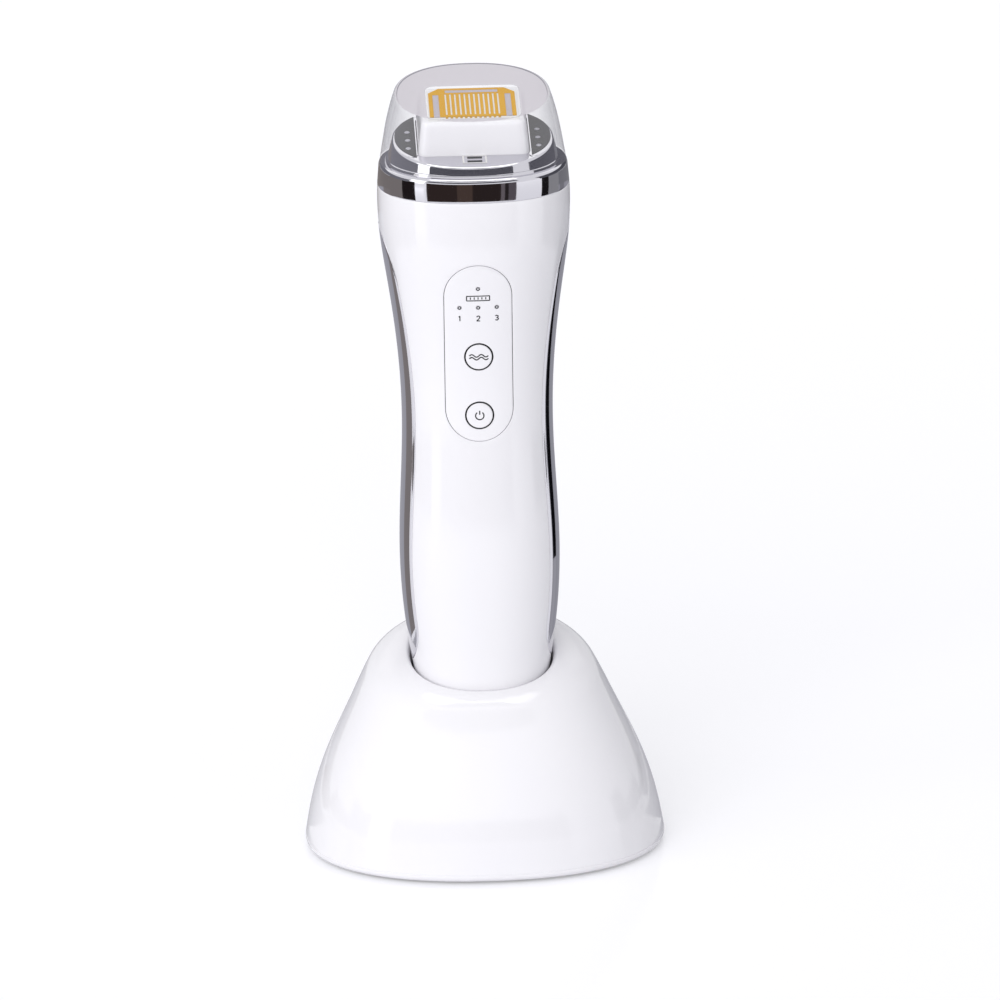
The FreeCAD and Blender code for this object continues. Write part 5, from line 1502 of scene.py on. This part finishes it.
        edge_foot = self.band_top - self.band_edge
        bend = np.linspace(0, QUARTER, self.band_bends)[:, None]
        sides = band(np.linspace(0, self.band_draft, self.band_rows)[:-1, None],
                     np.linspace(self.flange_top, edge_foot, self.band_rows)[:-1, None])
        shoulder = band(self.band_draft + self.band_edge * (1 - np.cos(bend)),
                        edge_foot + self.band_edge * np.sin(bend))
        foot_x = half_x - self.dome_step
        foot_y = foot_x * form.depth_shares[-1]
        slope_x, slope_y = (np.array([self.dome_width / 2 - foot_x, self.dome_depth / 2 - foot_y])
                            / (self.level - self.band_top))

        def dome(level: Array) -> Array:
            """Oval of the dome, which shrinks evenly with the height."""
            rise = level - self.band_top
            return joined((foot_x + slope_x * rise) * across,
                          form.setback + (foot_y + slope_y * rise) * along, level)

        rim = self.meet_plane(dome, 0.0)
        outline = self.block_outline(self.columns, -self.opening_gap, self.block_corner)
        outline = outline[np.argsort(np.arctan2(outline[:, 1], outline[:, 0]) % FULL)]
        opening, drop = (self.tilted(joined(*outline.T, depth)) for depth in (0.0, -self.opening_depth))
        below = dome(np.full(self.columns, self.band_top))
        rim_down = rim + unit(below - rim) * self.dome_edge
        corner = rounded_corner(rim_down, rim, rim + unit(opening - rim) * self.dome_edge, self.dome_bends)
        slope = np.concatenate([below[None], between(below, rim_down, self.dome_rows)[:-1]])
        flat = between(corner[-1], opening, self.dome_rows)
        rows = np.concatenate([flange, sides, shoulder, slope, corner, flat, drop[None]])
        skin = Skin().grid(rows, wrap=True)
        skin.piece("collar_skin", "handset", "chrome_trim", CHROME, ("head_collar",))

    def block(self) -> None:
        """White block with leaning sides and rounded edges under the electrode plate."""
        edge, height = self.block_edge, self.block_height
        bend = np.linspace(0, QUARTER, self.block_bends)[1:]
        curl = edge * (1 - np.cos(bend))
        lower = np.linspace(-self.block_sunk, height - edge, self.block_rows)
        heights = np.concatenate([lower, height - edge * (1 - np.sin(bend))])
        insets = np.concatenate([self.block_draft * np.clip(lower / height, 0, 1),
                                 self.block_draft * (1 - edge / 2 / height) + curl])
        corners = self.block_corner - np.concatenate([np.zeros(self.block_rows), curl])
        rings = np.stack([joined(*self.block_outline(self.block_columns, inset, corner).T, rise)
                          for inset, corner, rise in zip(insets, corners, heights)])
        cover = between(rings[-1], np.array([0.0, 0.0, height]), self.block_cover_rows)
        skin = Skin().grid(self.tilted(np.concatenate([rings, cover])), wrap=True)
        skin.piece("head_tower", "handset", "white_gloss", WHITE_GLOSS, ("head_block",))

    def window(self, side: int, name: str) -> None:
        """Dark window beside the block: the end of an oval, flush with the collar's top.

        Args:
            side: -1 for the left, 1 for the right.
            name: Name of the solid that it replaces.
        """
        half_x, half_y = self.dome_width / 2 - self.window_margin, self.dome_depth / 2 - self.window_margin
        power, start = self.form.power, self.window_start
        ends = framed(PLATE_EDGE, np.linspace(-PLATE_INNER, PLATE_INNER, self.window_rows), -1)[:, None]
        inner = np.linspace(-self.window_inner, self.window_inner, self.window_columns)
        shares = (1 + framed(self.window_edge, inner, -1)) / 2
        sink = np.maximum(framed(self.window_sinks, np.zeros(self.window_rows))[:, None],
                          framed(self.window_sinks, np.zeros(self.window_columns)))
        along = side * ends * half_y * arch(start / half_x, power)
        across = side * (start + shares * (half_x * arch(along / half_y, power) - start))
        skin = Skin().grid(self.tilted(joined(across, along, self.window_lift - sink)))
        skin.piece(name.replace("lamp_window", "smoke_window"), "handset", "smoke_window", SMOKE, (name,))

    def catch(self) -> None:
        """Two dark catch slots in a light frame on the front of the collar's top."""
        columns, rows = (np.linspace(-1, 1, count) / 2 for count in self.catch_counts)
        for step, centre in enumerate(self.catch_places):
            along = centre + rows[:, None] * self.catch_slot
            skin = Skin().grid(self.tilted(joined(columns * self.catch_width, along, self.catch_lift)))
            skin.piece(f"catch_slot_{step + 1}", "handset", "black_plastic", BLACK_PLASTIC)
        half_x, front, back = self.catch_width / 2, min(self.catch_places), max(self.catch_places)
        corners = rectangle(half_x, front, back)
        grown = corners + np.sign(corners - (0.0, (front + back) / 2)) * self.catch_slot

        def top(right: Array, up: Array, sink: Array) -> Array:
            """Place flat coordinates on the collar's top."""
            return self.tilted(joined(right, up, -sink))

        skin = Skin()
        skin.stroke(drawn(grown, self.catch_line_step), self.catch_line, top, self.catch_line_lift)
        skin.piece("catch_frame", "handset", "ceramic_white", CERAMIC)

    def cap_ring(self, inset: float, level: Array) -> Array:
        """Points of the cap's oval at some heights, from smooth curves through shares of the head's width.

        Args:
            inset: Distance inside the outer skin.
            level: Heights.

        Returns:
            Points.
        """
        knots = self.flange_top + self.cap_peak * np.array(self.cap_rise_shares)
        widths = self.form.head_width * np.array(self.cap_width_shares) / 2
        depths = widths * np.array(self.cap_depth_shares)
        across, along = superoval(self.turns, self.form.power)
        half_x, half_y = Spline(knots, widths)(level), Spline(knots, depths)(level)
        return joined((half_x - inset) * across, self.form.setback + (half_y - inset) * along, level)

    def cap_side(self, inset: float, edge: float) -> Array:
        """Rows of points up one side of the cap's wall, round its upper edge and over its top to the middle.

        Args:
            inset: Distance inside the outer skin.
            edge: Radius of the upper edge.

        Returns:
            Rows by columns by three.
        """
        ring = partial(self.cap_ring, inset)
        corner = self.meet_plane(ring, self.cap_rise - inset)
        middle = corner.mean(axis=0)
        start, end = fillet(ring, corner, unit(middle - corner), edge, self.cap_step, math.inf)
        bend = rounded_corner(start, corner, end, self.cap_bends)
        share, foot = np.linspace(0, 1, self.cap_rows)[:-1, None], self.flange_top + self.cap_gap
        wall = ring(foot + (start[:, 2] - foot) * share)
        return np.concatenate([wall, bend, between(bend[-1], middle, self.cap_cover_rows)])

    def cap_shade_line(self, rim: Array) -> None:
        """Narrow line of painted grey shade on the edge of the cap's top, widest at the back and gone at the
        front.

        Args:
            rim: Points round the edge of the top.
        """
        width = self.cap_shade_line_width * np.clip(np.sin(self.turns) + self.cap_shade_line_share, 0, 1)[:, None]
        rows = np.stack([rim, rim + unit(rim.mean(axis=0) - rim) * width])
        lift = self.tilted(np.array([0.0, 0.0, self.cap_shade_line_lift])) - self.tilted(np.zeros(3))
        Skin().grid(rows + lift, wrap=True).piece("cap_edge_shade_line", "cap", "clear_cap", CLEAR_EDGE_SHADE)

    def cap(self) -> None:
        """Clear cap: an outer and an inner skin joined at the foot."""
        outer, inner = self.cap_side(0.0, self.cap_edge), self.cap_side(self.cap_wall, self.cap_edge / 2)
        skin = Skin().grid(outer, wrap=True)
        inside = Skin().grid(np.concatenate([inner[::-1], outer[:1]]), wrap=True)
        shell = skin.piece("clear_cap_shell", "cap", "clear_cap", CLEAR_CAP, ("protective_cap",))
        for piece in (shell, inside.piece("clear_cap_inside", "cap", "clear_cap", CLEAR_INSIDE)):
            piece.visible_shadow = False
            piece.visible_diffuse = False
            piece.visible_glossy = False
        self.cap_shade_line(outer[-self.cap_cover_rows])

    def build(self) -> None:
        """Make all pieces of the head."""
        self.collar()
        self.block()
        self.window(-1, "lamp_window_left")
        self.window(1, "lamp_window_right")
        self.catch()
        self.cap()


@dataclass
class ChargeSprings:
    """Coil springs under the two charge pins."""

    radius: float = 1.0
    wire: float = 0.2
    turns: int = 5
    sides: int = 8
    turn_steps: int = 28

    def coil(self, side: str) -> None:
        """Round wire carried along a helix: the path rises evenly with its turn, and its ends are closed.

        Args:
            side: Left or right.
        """
        spring, pin = f"pin_spring_{side}", f"charge_pin_{side}"
        low, high = (np.array(corner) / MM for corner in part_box(spring))
        across, along = ((low + high) / 2)[:2]
        foot, top = low[2] + self.wire, high[2] - self.wire
        share = np.linspace(0, 1, self.turns * self.turn_steps + 1)[:, None]
        turn = FULL * self.turns * share
        ring = np.linspace(0, -FULL, self.sides + 1)[None, :-1]
        reach = self.radius + self.wire * np.cos(ring)
        level = foot + (top - foot) * share + self.wire * np.sin(ring)
        wire = joined(across + reach * np.cos(turn), along + reach * np.sin(turn), level)
        first, last = (np.broadcast_to(wire[row].mean(axis=0), wire[:1].shape) for row in (0, -1))
        skin = Skin().grid(np.concatenate([first, wire, last]), wrap=True)
        start, end = ((across * MM, along * MM, height * MM) for height in (foot, top))
        skin.piece(f"coil_spring_{side}", Stretch("stand", pin, start, end), "steel", STEEL, (spring,))

    def build(self) -> None:
        """Make both springs."""
        for side in ("left", "right"):
            self.coil(side)


@dataclass(frozen=True)
class Card:
    """A glowing sector round the handset's axis that the chrome mirrors, lying flat, leaning or standing.

    The angles are degrees from the front towards +X, the distances and heights are metres, and the strength
    multiplies the tint.
    """

    name: str
    tint: str
    turn: Pair
    reach: Pair
    height: Pair = (0.003, 0.003)
    strength: float = 1.0


# Spans and heights that several cards share, in metres
FAR, RISING, RISING_LOW = (0.38, 2.2), (0.003, 0.45), (0.003, 0.2)
OUTER, LEFT_INNER, RIGHT_INNER = (0.56, 2.2), (0.13, 0.56), (0.12, 0.58)
TOE, ON_FLOOR = (0.0468, 0.053), (0.0005, 0.0005)
BESIDE, BESIDE_HEIGHT = (0.06, 0.2), (0.178, 0.264)

# Dark and pale surroundings that the collar and the side strips mirror
CARDS = (
    Card("front_left_card", "#352B29", (-46.0, -12.0), FAR, RISING),
    Card("front_brown_card", "#4E403A", (-12.0, 0.0), FAR, RISING),
    Card("front_right_card", "#2F2726", (0.0, 21.0), FAR, RISING),
    Card("front_line_card", "#6E676B", (21.0, 25.0), FAR, RISING),
    Card("front_dark_card", "#2A2526", (25.0, 29.0), FAR, RISING),
    Card("front_edge_card", "#5E585D", (29.0, 38.0), FAR, RISING),
    Card("left_black_card", "#231D1E", (-86.0, -63.0), FAR, RISING),
    Card("left_brown_card", "#857F7D", (-116.0, -86.0), FAR, RISING_LOW),
    Card("left_rear_card", "#857F7D", (-180.0, -116.0), OUTER),
    Card("left_near_card", "#8A8483", (-138.0, -112.0), LEFT_INNER),
    Card("left_back_card", "#A9A9B1", (-180.0, -138.0), LEFT_INNER),
    Card("left_foot_card", "#B8B8BF", (-162.0, -104.0), (0.0475, 0.13), ON_FLOOR),
    Card("left_toe_card", "#B8B8BF", (-108.0, -82.0), TOE, ON_FLOOR),
    Card("right_black_card", "#1C1A1C", (76.0, 90.0), FAR, RISING),
    Card("right_pale_card", "#969699", (90.0, 116.0), FAR, RISING_LOW),
    Card("right_back_card", "#808085", (116.0, 180.0), OUTER),
    Card("right_line_card", "#A0A0A8", (114.0, 120.0), RIGHT_INNER),
    Card("right_low_card", "#A7A7AE", (120.0, 136.0), (0.12, 0.23)),
    Card("right_core_card", "#0E0E11", (120.0, 136.0), (0.23, 0.44)),
    Card("right_high_card", "#838389", (120.0, 136.0), (0.44, 0.58)),
    Card("right_rear_card", "#9D9DA5", (136.0, 180.0), RIGHT_INNER),
    Card("right_foot_card", "#ACACB4", (102.0, 170.0), (0.0475, 0.12), ON_FLOOR),
    Card("right_toe_card", "#ACACB4", (80.0, 106.0), TOE, ON_FLOOR),
    Card("front_wall_card", "#5A5A61", (-50.0, 42.0), (0.2, 0.2), (0.254, 0.354)),
    Card("front_high_card", "#4A4A50", (-50.0, 42.0), (0.2, 0.0875), (0.508, 0.6)),
    Card("top_card", "#FFFFFF", (-180.0, 180.0), (0.4, 0.02), (1.2, 1.2), 3.0),
    Card("back_card", "#FFFFFF", (140.0, 220.0), (1.9, 1.9), (1.1, 2.2), 1.3),
    Card("left_wall_card", "#7C7C83", (-170.0, -68.0), BESIDE, BESIDE_HEIGHT),
    Card("right_wall_card", "#56565D", (66.0, 170.0), BESIDE, BESIDE_HEIGHT),
)


@dataclass
class Studio:
    """White floor, soft lights, cards for the chrome, and the camera of the photograph, in metres."""

    distance: float = 2.0
    elevation: float = 18.0
    azimuth: float = -2.0
    roll: float = 1.0
    focal_pixels: float = 7840.0
    image_pixels: float = 1000.0
    sensor: float = 36.0
    clip_end: float = 60.0
    aim: Spot = (0.0, 0.0, 0.1)
    origin_pixel: Pair = (485.1, 836.7)
    floor_half: float = 8.0
    floor_tint: str = "#E6E6EA"
    floor_roughness: float = 0.12
    floor_ior: float = 1.33
    floor_glow: float = 0.3
    world_tint: str = "#FAFAFD"
    world_light: float = 0.62
    world_glow: float = 1.0
    sun_from: Spot = (-0.36, -1.0, 0.5)
    sun_strength: float = 1.52
    sun_angle: float = 50.0
    softbox_at: Spot = (-1.3, -0.7, 0.7)
    softbox_size: Pair = (0.7, 1.3)
    softbox_power: float = 3.0
    white: str = "#FFFFFF"
    card_columns: int = 24

    def camera(self) -> None:
        """Place the camera by its direction and distance, and shift it so that the origin meets its pixel."""
        turn, lift, lean = (math.radians(value) for value in (self.azimuth, self.elevation, self.roll))
        away = Vector((math.sin(turn) * math.cos(lift), -math.cos(turn) * math.cos(lift), math.sin(lift)))
        right = Vector((0, 0, 1)).cross(away).normalized()
        upward = away.cross(right)
        leaning_right = right * math.cos(lean) - upward * math.sin(lean)
        leaning_up = upward * math.cos(lean) + right * math.sin(lean)
        spot = Vector(self.aim) + away * self.distance
        matrix = Matrix((leaning_right, leaning_up, away)).transposed()
        data = bpy.data.cameras.new("photo_camera")
        data.sensor_width = self.sensor
        data.lens = self.focal_pixels / self.image_pixels * self.sensor
        data.clip_end = self.clip_end
        seen = matrix.transposed() @ (-spot)
        pixel_x = self.image_pixels / 2 + self.focal_pixels * seen.x / -seen.z
        pixel_y = self.image_pixels / 2 - self.focal_pixels * seen.y / -seen.z
        data.shift_x = (pixel_x - self.origin_pixel[0]) / self.image_pixels
        data.shift_y = (self.origin_pixel[1] - pixel_y) / self.image_pixels
        camera = linked("photo_camera", data)
        camera.matrix_world = Matrix.Translation(spot) @ matrix.to_4x4()
        bpy.context.scene.camera = camera
        LOG.info("camera shift %.4f %.4f", data.shift_x, data.shift_y)

    def lamps(self) -> None:
        """Wide even light from one direction, which reflections don't show, and a softbox to the left."""
        data = bpy.data.lights.new("even_light", "SUN")
        data.energy = self.sun_strength
        data.angle = math.radians(self.sun_angle)
        lamp = linked("even_light", data)
        lamp.rotation_euler = (-Vector(self.sun_from)).to_track_quat("-Z", "Y").to_euler()
        lamp.visible_glossy = False
        data = bpy.data.lights.new("left_softbox", "AREA")
        data.shape = "RECTANGLE"
        data.size, data.size_y = self.softbox_size
        data.energy = self.softbox_power
        data.color = linear(self.white)[:3]
        lamp = linked("left_softbox", data)
        lamp.location = self.softbox_at
        lamp.rotation_euler = (Vector(self.aim) - Vector(self.softbox_at)).to_track_quat("-Z", "Y").to_euler()

    def staged(self, name: str, points: Array, material: bpy.types.Material) -> bpy.types.Object:
        """Make a sheet of two rows of points that isn't part of the object.

        Args:
            name: Its name.
            points: Two rows by columns by three, in metres.
            material: Its material.

        Returns:
            The sheet.
        """
        index = np.arange(points.shape[0] * points.shape[1]).reshape(2, -1)
        faces = np.stack([index[0, :-1], index[0, 1:], index[1, 1:], index[1, :-1]], axis=-1)
        mesh = bpy.data.meshes.new(name)
        mesh.from_pydata(points.reshape(-1, 3).tolist(), [], faces.tolist())
        mesh.materials.append(material)
        piece = linked(name, mesh)
        return piece

    def card(self, card: Card) -> None:
        """Card that only reflections see, and only from its upper or inner side.

        Its points lie at an angle round the handset's axis, and run straight from one distance and height to
        the other.

        Args:
            card: Its place and colour.
        """
        material = bpy.data.materials.new(card.name)
        tree = empty_tree(material)
        add = partial(add_node, tree)
        glow = add("ShaderNodeEmission", inputs={"Color": linear(card.tint), "Strength": card.strength})
        clear = add("ShaderNodeBsdfTransparent")
        back = add("ShaderNodeNewGeometry").outputs["Backfacing"]
        side = add("ShaderNodeMixShader", inputs={0: back, 1: glow.outputs[0], 2: clear.outputs[0]})
        add(OUTPUT, inputs={"Surface": side.outputs[0]})
        turns = np.radians(np.linspace(card.turn[1], card.turn[0], self.card_columns))
        reach, height = np.array(card.reach)[:, None], np.array(card.height)[:, None]
        points = joined(reach * np.sin(turns), -reach * np.cos(turns), height)
        piece = self.staged(card.name, points, material)
        piece.visible_camera = False
        piece.visible_diffuse = False
        piece.visible_shadow = False
        piece.visible_transmission = False

    def seen_glow(self, tree: bpy.types.NodeTree, hidden: float, seen: float) -> bpy.types.NodeSocket:
        """Add a strength that differs for rays of the camera, of reflections and through clear walls.

        Args:
            tree: Node tree that gets it.
            hidden: Strength for other rays.
            seen: Strength for these rays.

        Returns:
            The socket with the strength.
        """
        path = add_node(tree, "ShaderNodeLightPath").outputs
        either = path["Is Camera Ray"]
        for kind in ("Is Glossy Ray", "Is Transmission Ray"):
            either = add_node(tree, MATH, {"operation": "MAXIMUM"}, {0: either, 1: path[kind]}).outputs[0]
        strength = add_node(tree, MAP_RANGE, inputs={"Value": either, "To Min": hidden, "To Max": seen})
        return strength.outputs["Result"]

    def floor(self) -> None:
        """White, slightly glossy floor: bright for the camera and reflections, and it keeps the shadow."""
        material = bpy.data.materials.new("white_sweep")
        tree = empty_tree(material)
        shader = add_node(tree, PRINCIPLED, inputs={
            "Base Color": linear(self.floor_tint), "Roughness": self.floor_roughness, "IOR": self.floor_ior,
            "Emission Color": linear(self.white),
            "Emission Strength": self.seen_glow(tree, 0.0, self.floor_glow)})
        add_node(tree, OUTPUT, inputs={"Surface": shader.outputs["BSDF"]})
        ends = np.array(BOTH) * self.floor_half
        self.staged("studio_floor", joined(ends, ends[:, None], 0.0), material)

    def surroundings(self) -> None:
        """World: white for the camera and reflections, softer for lighting."""
        world = bpy.data.worlds.new("studio_world")
        bpy.context.scene.world = world
        tree = empty_tree(world)
        glow = add_node(tree, "ShaderNodeBackground", inputs={
            "Color": linear(self.world_tint),
            "Strength": self.seen_glow(tree, self.world_light, self.world_glow)})
        add_node(tree, "ShaderNodeOutputWorld", inputs={"Surface": glow.outputs["Background"]})

    def build(self) -> None:
        """Set up the whole studio."""
        bpy.context.scene.view_settings.view_transform = "Standard"
        self.camera()
        self.floor()
        self.surroundings()
        self.lamps()
        for card in CARDS:
            self.card(card)
        LOG.info("studio is set up")


def main() -> None:
    """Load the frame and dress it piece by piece."""
    logging.basicConfig(level=logging.INFO, format="%(message)s")
    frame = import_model()
    Studio().build()
    for group in NodeFinish:
        group.dress(frame["nodes"])
    Handset().build()
    Stand().build()
    Head().build()
    ChargeSprings().build()


if __name__ == "__main__":
    main()
